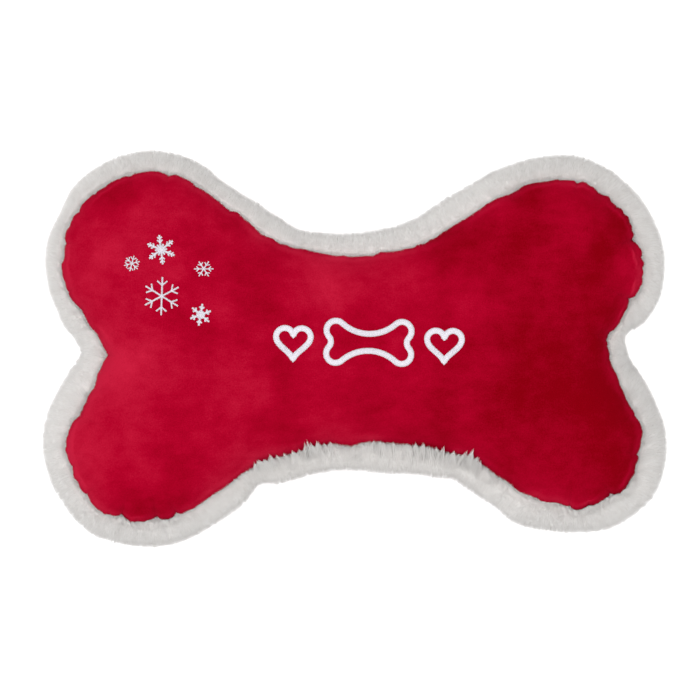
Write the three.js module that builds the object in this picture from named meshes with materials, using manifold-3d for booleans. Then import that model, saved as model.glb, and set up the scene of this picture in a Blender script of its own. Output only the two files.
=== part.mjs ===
// Bone-shaped plush dog toy, lying on its back with its face up.
// Millimetres. +Z is up, +X runs to the right end and +Y to the upper edge of the face.
// The origin is under the middle of the toy, on the surface that it lies on.
import * as THREE from 'three';
import { mergeVertices } from 'three/addons/utils/BufferGeometryUtils.js';
import Module from 'manifold-3d';

// Face outline along the seam: four round lobes
const upper_left_x = -110.5;
const upper_left_y = 48.3;
const upper_left_radius = 48.1;
const upper_right_x = 106.8;
const upper_right_y = 45.1;
const upper_right_radius = 48.2;
const lower_right_x = 117.3;
const lower_right_y = -48.3;
const lower_right_radius = 38;
const lower_left_x = -113.6;
const lower_left_y = -52.3;
const lower_left_radius = 42.3;

// Hollows between the lobes, each an arc that runs smoothly into both
const upper_waist_radius = 109;
const lower_waist_radius = 146;
const left_notch_radius = 27;
const right_notch_radius = 30;

// Thickness: the strip between the two seams, and the rise of each face beyond its seam
const strip_height = 26;
const front_crown = 27;
const back_crown = 21.5;
const shoulder_reach = 44;
const flat_cut = 0.5;

// Fabrics and seams
const velour_thickness = 1.6;
const fur_backing = 1.4;
const seam_allowance = 6;
const seam_gap = 0.3;

// Fur: how far the tips stand out from the seam at each lobe and waist, and above it
const upper_left_fur_reach = 10.2;
const upper_right_fur_reach = 12.7;
const lower_right_fur_reach = 14.6;
const lower_left_fur_reach = 13.6;
const upper_waist_fur_reach = 8.8;
const lower_waist_fur_reach = 12.5;
const fur_left_notch_radius = 20;
const fur_right_notch_radius = 7;
const fur_overhang = 4;

// Stuffing, in four clumps round the squeaker
const clump_half_length = 62;
const clump_gap = 0.3;
const pocket_clearance = 0.5;

// Squeaker
const squeaker_radius = 22;
const squeaker_height = 28;
const squeaker_wall = 1.2;
const end_plate_thickness = 2.2;
const rim_width = 1;
const rim_height = 1.5;
const plate_edge_round = 0.8;
const bellows_fold_depth = 4;
const bellows_folds = 3;
const press_gap = 0.3;
const reed_plug_radius = 6;
const reed_plug_length = 10;
const reed_plug_flange_radius = 8.5;
const reed_plug_flange = 1;
const reed_plug_fit = 0.3;
const reed_bore_radius = 4.2;
const reed_groove_width = 3;
const reed_groove_depth = 1.4;
const reed_width = 5;
const reed_length = 8;
const reed_thickness = 0.3;
const reed_clamp_height = 3.2;

// Embroidery: padded satin stitch on a nonwoven backing
const thread_height = 1.1;
const backing_sheet = 0.5;
const backing_margin = 8;
const star_flake_reach = 7.9;
const star_flake_hub = 2.1;
const small_star_reach = 6;
const small_star_hub = 1.9;
const line_flake_reach = 10.1;
const lace_flake_reach = 4.4;
const oval_flake_reach = 5.3;
const satin_arm_width = 1.3;
const line_arm_width = 1;
const lace_arm_width = 0.75;
const motif_band_length = 103;
const motif_band_height = 26;
const motif_stroke = 3.4;
const motif_space = 5;
const heart_width = 22;
const motif_centre_x = 7.4;
const motif_centre_y = 3.6;
const motif_tilt = -1;

// Points along each kind of arc
const lobe_steps = 13;
const waist_steps = 8;
const notch_steps = 4;
const round_steps = 32;
const small_round_steps = 20;
const hub_steps = 12;

const wasm = await Module();
wasm.setup();

const velour = new THREE.MeshStandardMaterial({ color: 0xb00a2c, roughness: 0.95, metalness: 0 });
const fur = new THREE.MeshStandardMaterial({ color: 0xd6d4d1, roughness: 1, metalness: 0 });
const fibre = new THREE.MeshStandardMaterial({ color: 0xf2f2f0, roughness: 1, metalness: 0 });
const thread = new THREE.MeshStandardMaterial({ color: 0xe4e1ea, roughness: 0.55, metalness: 0 });
const nonwoven = new THREE.MeshStandardMaterial({ color: 0xececea, roughness: 0.9, metalness: 0 });
const soft_plastic = new THREE.MeshStandardMaterial({ color: 0xe9e7df, roughness: 0.4, metalness: 0 });
const hard_plastic = new THREE.MeshStandardMaterial({ color: 0xf4f4f4, roughness: 0.35, metalness: 0 });
const film = new THREE.MeshStandardMaterial({ color: 0xdfe6ea, roughness: 0.2, metalness: 0 });

const toy = new THREE.Group();

// Adds one named piece with a material of its own
function addPiece(name, geometry, material) {
  const mesh = new THREE.Mesh(geometry, material.clone());
  mesh.name = name;
  toy.add(mesh);
}

// Solids for cutting and joining

function solidOf(geometry) {
  const bare = geometry.clone();
  bare.deleteAttribute('normal');
  bare.deleteAttribute('uv');
  const merged = mergeVertices(bare);
  const index = merged.index.array;
  const kept = [];
  for (let i = 0; i < index.length; i += 3) {
    const [a, b, c] = [index[i], index[i + 1], index[i + 2]];
    if (a !== b && b !== c && c !== a) kept.push(a, b, c);
  }
  const mesh = new wasm.Mesh({
    numProp: 3,
    vertProperties: new Float32Array(merged.attributes.position.array),
    triVerts: new Uint32Array(kept),
  });
  return new wasm.Manifold(mesh);
}

function geometryOf(solid) {
  const mesh = solid.getMesh();
  const geometry = new THREE.BufferGeometry();
  geometry.setAttribute('position', new THREE.BufferAttribute(mesh.vertProperties, 3));
  geometry.setIndex(new THREE.BufferAttribute(mesh.triVerts, 1));
  return geometry;
}

// A box between two corners
function boxBetween(low, high) {
  const size = new THREE.Vector3().subVectors(high, low);
  const middle = new THREE.Vector3().addVectors(low, high).multiplyScalar(1 / 2);
  const box = new THREE.BoxGeometry(size.x, size.y, size.z);
  box.translate(middle.x, middle.y, middle.z);
  return solidOf(box);
}

// An upright round bar
function barAt(x, y, low, high, radius, steps = round_steps) {
  const bar = new THREE.CylinderGeometry(radius, radius, high - low, steps);
  bar.rotateX(Math.PI / 2);
  bar.translate(x, y, (low + high) / 2);
  return solidOf(bar);
}

// Face outline

const lobes = [
  { x: upper_left_x, y: upper_left_y, radius: upper_left_radius, fur_reach: upper_left_fur_reach },
  { x: upper_right_x, y: upper_right_y, radius: upper_right_radius, fur_reach: upper_right_fur_reach },
  { x: lower_right_x, y: lower_right_y, radius: lower_right_radius, fur_reach: lower_right_fur_reach },
  { x: lower_left_x, y: lower_left_y, radius: lower_left_radius, fur_reach: lower_left_fur_reach },
];
const seam_hollows = [upper_waist_radius, right_notch_radius, lower_waist_radius, left_notch_radius];
const hollow_steps = [waist_steps, notch_steps, waist_steps, notch_steps];
const fur_hollows = [
  upper_waist_radius - upper_waist_fur_reach,
  fur_right_notch_radius,
  lower_waist_radius - lower_waist_fur_reach,
  fur_left_notch_radius,
];

// The centre of the arc that touches two neighbouring lobes from outside
function hollowCentre(first, second, radius) {
  const dx = second.x - first.x;
  const dy = second.y - first.y;
  const apart = Math.hypot(dx, dy);
  const near = first.radius + radius;
  const far = second.radius + radius;
  const along = (apart * apart + near * near - far * far) / (2 * apart);
  const out = Math.sqrt(near * near - along * along);
  return {
    x: first.x + (dx * along - dy * out) / apart,
    y: first.y + (dy * along + dx * out) / apart,
  };
}

// The arcs of an outline, clockwise from the left end of the upper left lobe
function arcsOf(circles, hollows) {
  const centres = circles.map((circle, i) => hollowCentre(circle, circles[(i + 1) % 4], hollows[i]));
  const arcs = [];
  circles.forEach((circle, i) => {
    const before = centres[(i + 3) % 4];
    const after = centres[i];
    const next = circles[(i + 1) % 4];
    const start = Math.atan2(before.y - circle.y, before.x - circle.x);
    let end = Math.atan2(after.y - circle.y, after.x - circle.x);
    while (end > start) end -= 2 * Math.PI;
    arcs.push({ ...circle, start, end, steps: lobe_steps, lobe: true });
    const hollow_start = Math.atan2(circle.y - after.y, circle.x - after.x);
    let hollow_end = Math.atan2(next.y - after.y, next.x - after.x);
    while (hollow_end < hollow_start) hollow_end += 2 * Math.PI;
    arcs.push({
      x: after.x,
      y: after.y,
      radius: hollows[i],
      start: hollow_start,
      end: hollow_end,
      steps: hollow_steps[i],
      lobe: false,
    });
  });
  return arcs;
}

// Points along the arcs, moved inward from the seam by the inset
function outlineAt(arcs, inset) {
  const points = [];
  for (const arc of arcs) {
    const radius = arc.lobe ? arc.radius - inset : arc.radius + inset;
    for (let i = 0; i < arc.steps; i += 1) {
      const angle = arc.start + (arc.end - arc.start) * (i / arc.steps);
      points.push({ x: arc.x + radius * Math.cos(angle), y: arc.y + radius * Math.sin(angle) });
    }
  }
  return points;
}

const seam_arcs = arcsOf(lobes, seam_hollows);
const fur_lobes = lobes.map((lobe) => ({ ...lobe, radius: lobe.radius + lobe.fur_reach }));
const fur_outline = outlineAt(arcsOf(fur_lobes, fur_hollows), 0);
const ring_count = fur_outline.length;

// How far a point inside the face lies from the seam
function seamDistance(point) {
  let least = Infinity;
  for (const arc of seam_arcs) {
    const dx = point.x - arc.x;
    const dy = point.y - arc.y;
    const turn = arc.end - arc.start;
    const full = 2 * Math.PI * Math.sign(turn);
    let angle = (Math.atan2(dy, dx) - arc.start) % full;
    if (angle * full < 0) angle += full;
    const away = Math.hypot(dx, dy);
    if (Math.abs(angle) <= Math.abs(turn)) {
      least = Math.min(least, arc.lobe ? arc.radius - away : away - arc.radius);
    }
  }
  return least;
}

// The spine that the faces close on: a narrow oval between the two pairs of lobes
const spine_inset_share = 0.62;
const spine_radius_share = 0.2;
const spine_swell_share = 0.5;
const smallest_lobe = Math.min(...lobes.map((lobe) => lobe.radius));
const spine_radius = spine_radius_share * smallest_lobe;
const spine_left = {
  x: (upper_left_x + lower_left_x) / 2 + spine_inset_share * upper_left_radius,
  y: (upper_left_y + lower_left_y) / 2,
};
const spine_right = {
  x: (upper_right_x + lower_right_x) / 2 - spine_inset_share * upper_right_radius,
  y: (upper_right_y + lower_right_y) / 2,
};

// Half a turn round one end of the spine, clockwise
function spineEnd(end, start) {
  const steps = 2 * lobe_steps + notch_steps;
  return Array.from({ length: steps }, (_, i) => {
    const angle = start - Math.PI * (i / steps);
    return { x: end.x + spine_radius * Math.cos(angle), y: end.y + spine_radius * Math.sin(angle) };
  });
}

// One long side of the spine, swelling a little in the middle
function spineSide(from, to, side) {
  return Array.from({ length: waist_steps }, (_, i) => {
    const share = i / waist_steps;
    const swell = 1 + spine_swell_share * Math.sin(Math.PI * share);
    return {
      x: from.x + (to.x - from.x) * share,
      y: from.y + (to.y - from.y) * share + side * spine_radius * swell,
    };
  });
}

const left_turn = spineEnd(spine_left, -Math.PI / 2);
const spine_outline = [
  ...left_turn.slice(lobe_steps + notch_steps),
  ...spineSide(spine_left, spine_right, 1),
  ...spineEnd(spine_right, Math.PI / 2),
  ...spineSide(spine_right, spine_left, -1),
  ...left_turn.slice(0, lobe_steps + notch_steps),
];

// Domed faces

const front = { up: 1, crown: front_crown, fullness: 2.4 };
const back = { up: -1, crown: back_crown, fullness: 3 };
const skin_inset_shares = [0, 0.03, 0.12, 0.27, 0.5, 0.78];
const lining_inset_shares = [0.12, 0.27, 0.5, 0.78];
const stuffing_inset_shares = [0.12, 0.27, 0.78];

// Height of a layer over its seam, at a depth in from the seam
function domeHeight(face, drop, depth) {
  const share = Math.min(1, Math.max(0, depth / (shoulder_reach - drop)));
  const rise = (1 - (1 - share) ** face.fullness) ** (1 / face.fullness);
  return (face.crown - drop) * rise;
}

function faceHeight(face, drop, depth) {
  return face.up * (strip_height / 2 + seam_gap / 2 + domeHeight(face, drop, depth));
}

// A ring of points on a layer that lies inside the skin by the drop
function insetRing(face, drop, share) {
  const depth = share * smallest_lobe;
  const z = faceHeight(face, drop, depth);
  return outlineAt(seam_arcs, drop + depth).map((point) => new THREE.Vector3(point.x, point.y, z));
}

function spineRing(face, drop, last_share, share) {
  return outlineAt(seam_arcs, drop + last_share * smallest_lobe).map((point, i) => {
    const target = spine_outline[i];
    const x = point.x + (target.x - point.x) * share;
    const y = point.y + (target.y - point.y) * share;
    const z = faceHeight(face, drop, seamDistance({ x, y }) - drop);
    return new THREE.Vector3(x, y, z);
  });
}

function levelRing(inset, z) {
  return outlineAt(seam_arcs, inset).map((point) => new THREE.Vector3(point.x, point.y, z));
}

// Joins rings of equal count into a closed solid whose first and last rings are covered
function solidFromRings(rings) {
  const count = rings[0].length;
  const index = [];
  for (let k = 0; k < rings.length - 1; k += 1) joinRings(index, k * count, (k + 1) * count, count);
  coverRing(index, rings[0], 0, -1);
  coverRing(index, rings.at(-1), (rings.length - 1) * count, 1);
  return closedGeometry(rings.flat(), index);
}

// Joins rings of equal count into a closed loop, such as a strip that runs all the way round
function loopFromRings(rings) {
  const count = rings[0].length;
  const index = [];
  rings.forEach((ring, k) => joinRings(index, k * count, ((k + 1) % rings.length) * count, count));
  return closedGeometry(rings.flat(), index);
}

function joinRings(index, from, to, count) {
  for (let i = 0; i < count; i += 1) {
    const next = (i + 1) % count;
    index.push(from + i, from + next, to + i);
    index.push(from + next, to + next, to + i);
  }
}

// Covers a ring, running along it or against it
function coverRing(index, ring, start, direction) {
  const flat = ring.map((point) => new THREE.Vector2(point.x, point.y));
  const turn = Math.sign(THREE.ShapeUtils.area(flat)) * direction;
  for (const [a, b, c] of THREE.ShapeUtils.triangulateShape(flat, [])) {
    const corners = THREE.ShapeUtils.area([flat[a], flat[b], flat[c]]) * turn > 0 ? [a, b, c] : [a, c, b];
    index.push(...corners.map((corner) => start + corner));
  }
}

// A geometry with its faces turned outward
function closedGeometry(points, index) {
  let volume = 0;
  for (let i = 0; i < index.length; i += 3) {
    const [a, b, c] = [points[index[i]], points[index[i + 1]], points[index[i + 2]]];
    volume += new THREE.Vector3().crossVectors(a, b).dot(c);
  }
  const faces = volume > 0 ? index : index.toReversed();
  return new THREE.BufferGeometry().setFromPoints(points).setIndex(faces);
}

// A velour panel: domed skin, seam allowance turned in along its edge, and lining side
function panelGeometry(face) {
  const last = skin_inset_shares.at(-1);
  const seam_z = face.up * (strip_height / 2 + seam_gap / 2);
  const lining_z = seam_z + face.up * velour_thickness;
  const rings = [
    spineRing(face, 0, last, 1),
    spineRing(face, 0, last, 0.5),
    ...skin_inset_shares.toReversed().map((share) => insetRing(face, 0, share)),
    levelRing(seam_allowance, seam_z),
    levelRing(seam_allowance, lining_z),
    levelRing(velour_thickness, lining_z),
    ...lining_inset_shares.map((share) => insetRing(face, velour_thickness, share)),
    spineRing(face, velour_thickness, last, 1),
  ];
  return solidFromRings(rings);
}

// The part lies flat on what it rests on: its back is cut by a plane
const rest_z = -(strip_height / 2 + seam_gap / 2 + back_crown - flat_cut);
const overrun = 10;
const fur_points = fur_outline.map((point) => new THREE.Vector2(point.x, point.y));
const face_box = new THREE.Box2().setFromPoints(fur_points);

function slab(low_z, high_z, low_x = face_box.min.x - overrun, high_x = face_box.max.x + overrun) {
  const low = new THREE.Vector3(low_x, face_box.min.y - overrun, low_z);
  const high = new THREE.Vector3(high_x, face_box.max.y + overrun, high_z);
  return boxBetween(low, high);
}

const back_skin = solidOf(panelGeometry(back));
addPiece('front_panel', panelGeometry(front), velour);
addPiece('back_panel', geometryOf(back_skin.intersect(slab(rest_z, 0))), velour);

// Fur strip sewn between the two panels, its ends joined in the notches at both ends of the bone

const fur_lip_out_share = 0.1;
const fur_lip_rise_share = 0.8;
const fur_top_out_share = 0.4;
const fur_shoulder_out_share = 0.8;
const fur_shoulder_rise_share = 0.68;
const strip_z = strip_height / 2 - seam_gap / 2;

// Section of the fur from the seam out to its tips: share of the reach, and height
const fur_upper_section = [
  [fur_lip_out_share, strip_z + fur_lip_rise_share * fur_overhang],
  [fur_top_out_share, strip_z + fur_overhang],
  [fur_shoulder_out_share, fur_shoulder_rise_share * strip_z],
];
const fur_section = [
  ...fur_upper_section,
  [1, 0],
  ...fur_upper_section.toReversed().map(([share, z]) => [share, -z]),
];
const strip_rim = outlineAt(seam_arcs, -seam_gap);

function furRing(share, z) {
  return strip_rim.map((rim, i) => {
    const tip = fur_outline[i];
    return new THREE.Vector3(rim.x + (tip.x - rim.x) * share, rim.y + (tip.y - rim.y) * share, z);
  });
}

const strip_rings = [
  levelRing(-seam_gap, strip_z),
  ...fur_section.map(([share, z]) => furRing(share, z)),
  levelRing(-seam_gap, -strip_z),
  levelRing(seam_allowance, -strip_z),
  levelRing(seam_allowance, -strip_z + fur_backing),
  levelRing(fur_backing, -strip_z + fur_backing),
  levelRing(fur_backing, strip_z - fur_backing),
  levelRing(seam_allowance, strip_z - fur_backing),
  levelRing(seam_allowance, strip_z),
];
const fur_loop = solidOf(loopFromRings(strip_rings));
const notch_y = (seam_arcs[3].y + seam_arcs[7].y) / 2;
const tall = front_crown + back_crown + strip_height;

// The space over or under the line where the two lengths of fur meet
function furSide(low_y, high_y) {
  const low = new THREE.Vector3(face_box.min.x - overrun, low_y, -tall);
  const high = new THREE.Vector3(face_box.max.x + overrun, high_y, tall);
  return boxBetween(low, high);
}

const upper_half = furSide(notch_y + seam_gap / 2, face_box.max.y + overrun);
const lower_half = furSide(face_box.min.y - overrun, notch_y - seam_gap / 2);
addPiece('fur_strip_upper', geometryOf(fur_loop.intersect(upper_half)), fur);
addPiece('fur_strip_lower', geometryOf(fur_loop.intersect(lower_half)), fur);

// Fibre stuffing, packed as four clumps: one in each end, and one over and one under the squeaker

const front_fill_drop = velour_thickness + backing_sheet + 2 * seam_gap;
const back_fill_drop = velour_thickness + seam_gap;
const fill_edge_z = strip_height / 2 + seam_gap / 2 + velour_thickness + seam_gap;
const fill_side_z = strip_z - fur_backing - seam_gap;

function stuffingSide(face, drop) {
  return [
    spineRing(face, drop, skin_inset_shares.at(-1), 1),
    ...stuffing_inset_shares.toReversed().map((share) => insetRing(face, drop, share)),
    levelRing(drop, face.up * fill_edge_z),
    levelRing(seam_allowance + seam_gap, face.up * fill_edge_z),
    levelRing(seam_allowance + seam_gap, face.up * fill_side_z),
    levelRing(fur_backing + seam_gap, face.up * fill_side_z),
  ];
}

const stuffing = solidOf(solidFromRings([
  ...stuffingSide(front, front_fill_drop),
  ...stuffingSide(back, back_fill_drop).reverse(),
]));
const squeaker_floor = -squeaker_height / 2;
const squeaker_top = squeaker_height / 2;
const pocket = barAt(
  0,
  0,
  squeaker_floor - seam_gap,
  squeaker_top + seam_gap,
  squeaker_radius + pocket_clearance,
);
const middle_edge = clump_half_length - clump_gap / 2;
const end_edge = clump_half_length + clump_gap / 2;
const middle_clump = stuffing.intersect(slab(-tall, tall, -middle_edge, middle_edge)).subtract(pocket);
const left_clump = stuffing.intersect(slab(-tall, tall, face_box.min.x - overrun, -end_edge));
const right_clump = stuffing.intersect(slab(-tall, tall, end_edge, face_box.max.x + overrun));

addPiece('stuffing_left_end', geometryOf(left_clump), fibre);
addPiece('stuffing_right_end', geometryOf(right_clump), fibre);
addPiece('stuffing_middle_front', geometryOf(middle_clump.intersect(slab(clump_gap / 2, tall))), fibre);
addPiece('stuffing_middle_back', geometryOf(middle_clump.intersect(slab(-tall, -clump_gap / 2))), fibre);

// Squeaker: a bellows between a base and a press plate, with a reed plug in the base

const collar_height_share = 0.7;
const reed_rise_share = 0.1;

// A turned piece from its closed section of radius and height
function turned(section, steps = round_steps) {
  const points = [...section, section[0]].map(([radius, z]) => new THREE.Vector2(radius, z));
  const lathe = new THREE.LatheGeometry(points, steps);
  lathe.rotateX(Math.PI / 2);
  return geometryOf(solidOf(lathe));
}

function squeakerBase() {
  const top = squeaker_floor + end_plate_thickness;
  const plug_hole = reed_plug_radius + reed_plug_fit;
  const flange_hole = reed_plug_flange_radius + reed_plug_fit;
  const flange_seat = squeaker_floor + reed_plug_flange + reed_plug_fit;
  const collar_top = squeaker_floor + reed_plug_length * collar_height_share;
  return turned([
    [flange_hole, squeaker_floor],
    [squeaker_radius, squeaker_floor],
    [squeaker_radius, top + rim_height],
    [squeaker_radius - rim_width, top + rim_height],
    [squeaker_radius - rim_width, top],
    [plug_hole + squeaker_wall, top],
    [plug_hole + squeaker_wall, collar_top],
    [plug_hole, collar_top],
    [plug_hole, flange_seat],
    [flange_hole, flange_seat],
  ]);
}

function squeakerPlate() {
  const under = squeaker_top - end_plate_thickness;
  return turned([
    [0, under],
    [squeaker_radius - rim_width, under],
    [squeaker_radius - rim_width, under - rim_height],
    [squeaker_radius, under - rim_height],
    [squeaker_radius, squeaker_top - plate_edge_round],
    [squeaker_radius - plate_edge_round, squeaker_top],
    [0, squeaker_top],
  ]);
}

// The bellows folds in and out between the two rims
function squeakerBellows() {
  const low = squeaker_floor + end_plate_thickness + press_gap;
  const high = squeaker_top - end_plate_thickness - press_gap;
  const crest = squeaker_radius - rim_width - press_gap;
  const outside = Array.from({ length: 2 * bellows_folds + 1 }, (_, i) => {
    const radius = i % 2 === 0 ? crest : crest - bellows_fold_depth;
    return [radius, low + ((high - low) * i) / (2 * bellows_folds)];
  });
  const inside = outside.toReversed().map(([radius, z]) => [radius - squeaker_wall, z]);
  return turned([...outside, ...inside]);
}

// Box of the reed plug's own frame: x away from the reed table, y across it
function plugBox(low_x, high_x, half_width, low_z, high_z) {
  return boxBetween(
    new THREE.Vector3(low_x, -half_width, low_z),
    new THREE.Vector3(high_x, half_width, high_z),
  );
}

// The plug is bored on one side of a flat table, and a groove in the table runs under the reed
function reedPlug() {
  const top = squeaker_floor + reed_plug_length;
  const body = barAt(0, 0, squeaker_floor, top, reed_plug_radius, small_round_steps);
  const flange_top = squeaker_floor + reed_plug_flange;
  const flange = barAt(0, 0, squeaker_floor, flange_top, reed_plug_flange_radius, small_round_steps);
  const low = squeaker_floor - overrun;
  const high = top + overrun;
  const open_side = plugBox(0, reed_plug_radius, reed_plug_radius, low, high);
  const bore = barAt(0, 0, low, high, reed_bore_radius, small_round_steps).intersect(open_side);
  const groove = plugBox(-reed_groove_depth, reed_plug_fit, reed_groove_width / 2, low, high);
  return geometryOf(body.add(flange).subtract(bore).subtract(groove));
}

const reed_low = squeaker_floor + reed_plug_length * reed_rise_share;
const clamp_side = 2 * reed_plug_fit + reed_thickness;

function reedTongue() {
  const low_x = reed_plug_fit;
  const high_z = reed_low + reed_length;
  return geometryOf(plugBox(low_x, low_x + reed_thickness, reed_width / 2, reed_low, high_z));
}

function reedClamp() {
  const radius = reed_bore_radius - reed_plug_fit;
  const block = barAt(0, 0, reed_low, reed_low + reed_clamp_height, radius, small_round_steps);
  return geometryOf(block.intersect(plugBox(clamp_side, reed_plug_radius, reed_plug_radius, -tall, tall)));
}

addPiece('squeaker_base', squeakerBase(), soft_plastic);
addPiece('squeaker_bellows', squeakerBellows(), soft_plastic);
addPiece('squeaker_press_plate', squeakerPlate(), soft_plastic);
addPiece('squeaker_reed_plug', reedPlug(), hard_plastic);
addPiece('squeaker_reed', reedTongue(), film);
addPiece('squeaker_reed_clamp', reedClamp(), hard_plastic);

// Nonwoven backings behind the embroidery, lying against the lining side of the face

const backing_inset_shares = [0.27, 0.5, 0.78];
const backing_top = velour_thickness + seam_gap;
const backing_under = backing_top + backing_sheet;
const face_sheet = solidOf(solidFromRings([
  spineRing(front, backing_top, skin_inset_shares.at(-1), 1),
  ...backing_inset_shares.toReversed().map((share) => insetRing(front, backing_top, share)),
  ...backing_inset_shares.map((share) => insetRing(front, backing_under, share)),
  spineRing(front, backing_under, skin_inset_shares.at(-1), 1),
]));
const flakes_centre_x_share = 0.22;
const flakes_centre_y_share = -0.25;
const flakes_radius_share = 0.68;
const flakes_disc = barAt(
  upper_left_x + flakes_centre_x_share * upper_left_radius,
  upper_left_y + flakes_centre_y_share * upper_left_radius,
  0,
  tall,
  flakes_radius_share * upper_left_radius,
  small_round_steps,
);
const motif_patch = new THREE.BoxGeometry(
  motif_band_length + 2 * backing_margin,
  motif_band_height + 2 * backing_margin,
  2 * tall,
);
motif_patch.rotateZ(THREE.MathUtils.degToRad(motif_tilt));
motif_patch.translate(motif_centre_x, motif_centre_y, 0);

addPiece('embroidery_backing_flakes', geometryOf(face_sheet.intersect(flakes_disc)), nonwoven);
addPiece('embroidery_backing_centre', geometryOf(face_sheet.intersect(solidOf(motif_patch))), nonwoven);

// Embroidery: worked flat, then laid on the dome of the front panel

function laidOnFront(flat) {
  const geometry = geometryOf(flat);
  const position = geometry.attributes.position;
  for (let i = 0; i < position.count; i += 1) {
    const depth = seamDistance({ x: position.getX(i), y: position.getY(i) });
    position.setZ(i, position.getZ(i) + faceHeight(front, 0, depth) + seam_gap);
  }
  return geometry;
}

// One straight bar of satin stitch from a point, in a direction
function satinBar(x, y, angle, length, width) {
  const bar = new THREE.BoxGeometry(length, width, thread_height);
  bar.translate(length / 2, 0, thread_height / 2);
  bar.rotateZ(angle);
  bar.translate(x, y, 0);
  return solidOf(bar);
}

// A six-armed snowflake with pairs of barbs along each arm
function snowflake({ reach, hub, width, barbs, tilt }) {
  let flake = barAt(0, 0, 0, thread_height, hub, hub_steps);
  for (let arm = 0; arm < 6; arm += 1) {
    const angle = Math.PI * (1 / 2 + arm / 3);
    flake = flake.add(satinBar(0, 0, angle, reach, width));
    for (const barb of barbs) {
      const x = Math.cos(angle) * reach * barb.at_share;
      const y = Math.sin(angle) * reach * barb.at_share;
      for (const side of [-1, 1]) {
        const lean = angle + side * THREE.MathUtils.degToRad(barb.lean);
        flake = flake.add(satinBar(x, y, lean, reach * barb.length_share, width * barb.width_share));
      }
    }
  }
  return geometryOf(flake).rotateZ(THREE.MathUtils.degToRad(tilt));
}

const star_barbs = [
  { at_share: 0, length_share: 0.42, lean: 30, width_share: 0.7 },
  { at_share: 0.5, length_share: 0.23, lean: 50, width_share: 0.75 },
  { at_share: 0.73, length_share: 0.2, lean: 50, width_share: 0.75 },
];
const blunt_barbs = [{ at_share: 0.56, length_share: 0.24, lean: 55, width_share: 0.9 }];
const line_barbs = [{ at_share: 0.58, length_share: 0.34, lean: 50, width_share: 0.9 }];
const lace_barbs = [{ at_share: 0.5, length_share: 0.4, lean: 55, width_share: 0.9 }];
// Places are shares of the upper left lobe's radius from its centre
const flakes = [
  {
    name: 'snowflake_star_large',
    x_share: 0.134,
    y_share: 0.104,
    shape: {
      reach: star_flake_reach,
      hub: star_flake_hub,
      width: satin_arm_width,
      barbs: star_barbs,
      tilt: 7,
    },
  },
  {
    name: 'snowflake_lace_small',
    x_share: -0.189,
    y_share: -0.051,
    shape: {
      reach: lace_flake_reach,
      hub: lace_arm_width,
      width: lace_arm_width,
      barbs: lace_barbs,
      tilt: -15,
    },
  },
  {
    name: 'snowflake_lace_wide',
    x_share: 0.612,
    y_share: -0.111,
    shape: {
      reach: oval_flake_reach,
      hub: lace_arm_width,
      width: lace_arm_width,
      barbs: lace_barbs,
      tilt: 30,
    },
  },
  {
    name: 'snowflake_line_large',
    x_share: 0.143,
    y_share: -0.414,
    shape: {
      reach: line_flake_reach,
      hub: line_arm_width,
      width: line_arm_width,
      barbs: line_barbs,
      tilt: -2,
    },
  },
  {
    name: 'snowflake_star_small',
    x_share: 0.576,
    y_share: -0.622,
    shape: {
      reach: small_star_reach,
      hub: small_star_hub,
      width: satin_arm_width,
      barbs: blunt_barbs,
      tilt: -10,
    },
  },
];
const wide_height_share = 0.87;
for (const flake of flakes) {
  const flat = snowflake(flake.shape);
  if (flake.name === 'snowflake_lace_wide') flat.scale(1, wide_height_share, 1);
  flat.translate(
    upper_left_x + flake.x_share * upper_left_radius,
    upper_left_y + flake.y_share * upper_left_radius,
    0,
  );
  addPiece(flake.name, laidOnFront(solidOf(flat)), thread);
}

// Middle of the face: a small bone between two hearts, each one closed line of satin stitch

// A flat block from the points of a closed outline
function blockOf(points, low, high) {
  const shape = new THREE.Shape(points.map((point) => new THREE.Vector2(point.x, point.y)));
  const options = { depth: high - low, bevelEnabled: false, steps: 1 };
  return solidOf(new THREE.ExtrudeGeometry(shape, options).translate(0, 0, low));
}

// Shares of the bone's height: its lobes, half its shaft, and the hollows of its ends
const bone_lobe_share = 0.26;
const bone_shaft_share = 0.24;
const bone_notch_share = 0.09;

// The bone's outline as four lobes joined by hollows, moved inward by the inset
function boneBlock(length, height, inset, low, high) {
  const radius = bone_lobe_share * height;
  const x = length / 2 - radius;
  const y = height / 2 - radius;
  const step = bone_shaft_share * height - y;
  const waist = (x * x + step * step - radius * radius) / (2 * (radius - step));
  const notch = bone_notch_share * height;
  const circles = [
    { x: -x, y, radius },
    { x, y, radius },
    { x, y: -y, radius },
    { x: -x, y: -y, radius },
  ];
  return blockOf(outlineAt(arcsOf(circles, [waist, notch, waist, notch]), inset), low, high);
}

// A heart's outline, as wide as given, from the usual curve of sines and cosines
const heart_wave_shares = [13 / 16, -5 / 16, -2 / 16, -1 / 16];

function heartBlock(width, low, high) {
  const points = Array.from({ length: round_steps }, (_, i) => {
    const turn = (2 * Math.PI * i) / round_steps;
    const rise = heart_wave_shares.reduce((sum, share, k) => sum + share * Math.cos((k + 1) * turn), 0);
    return { x: (Math.sin(turn) ** 3 * width) / 2, y: (rise * width) / 2 };
  });
  return blockOf(points, low, high);
}

function heartMotif(width) {
  const hole = heartBlock(width - 2 * motif_stroke, -thread_height, 2 * thread_height);
  return heartBlock(width, 0, thread_height).subtract(hole);
}

function addMotif(name, solid, shift) {
  const flat = geometryOf(solid);
  flat.translate(shift, 0, 0);
  flat.rotateZ(THREE.MathUtils.degToRad(motif_tilt));
  flat.translate(motif_centre_x, motif_centre_y, 0);
  addPiece(name, laidOnFront(solidOf(flat)), thread);
}

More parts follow.
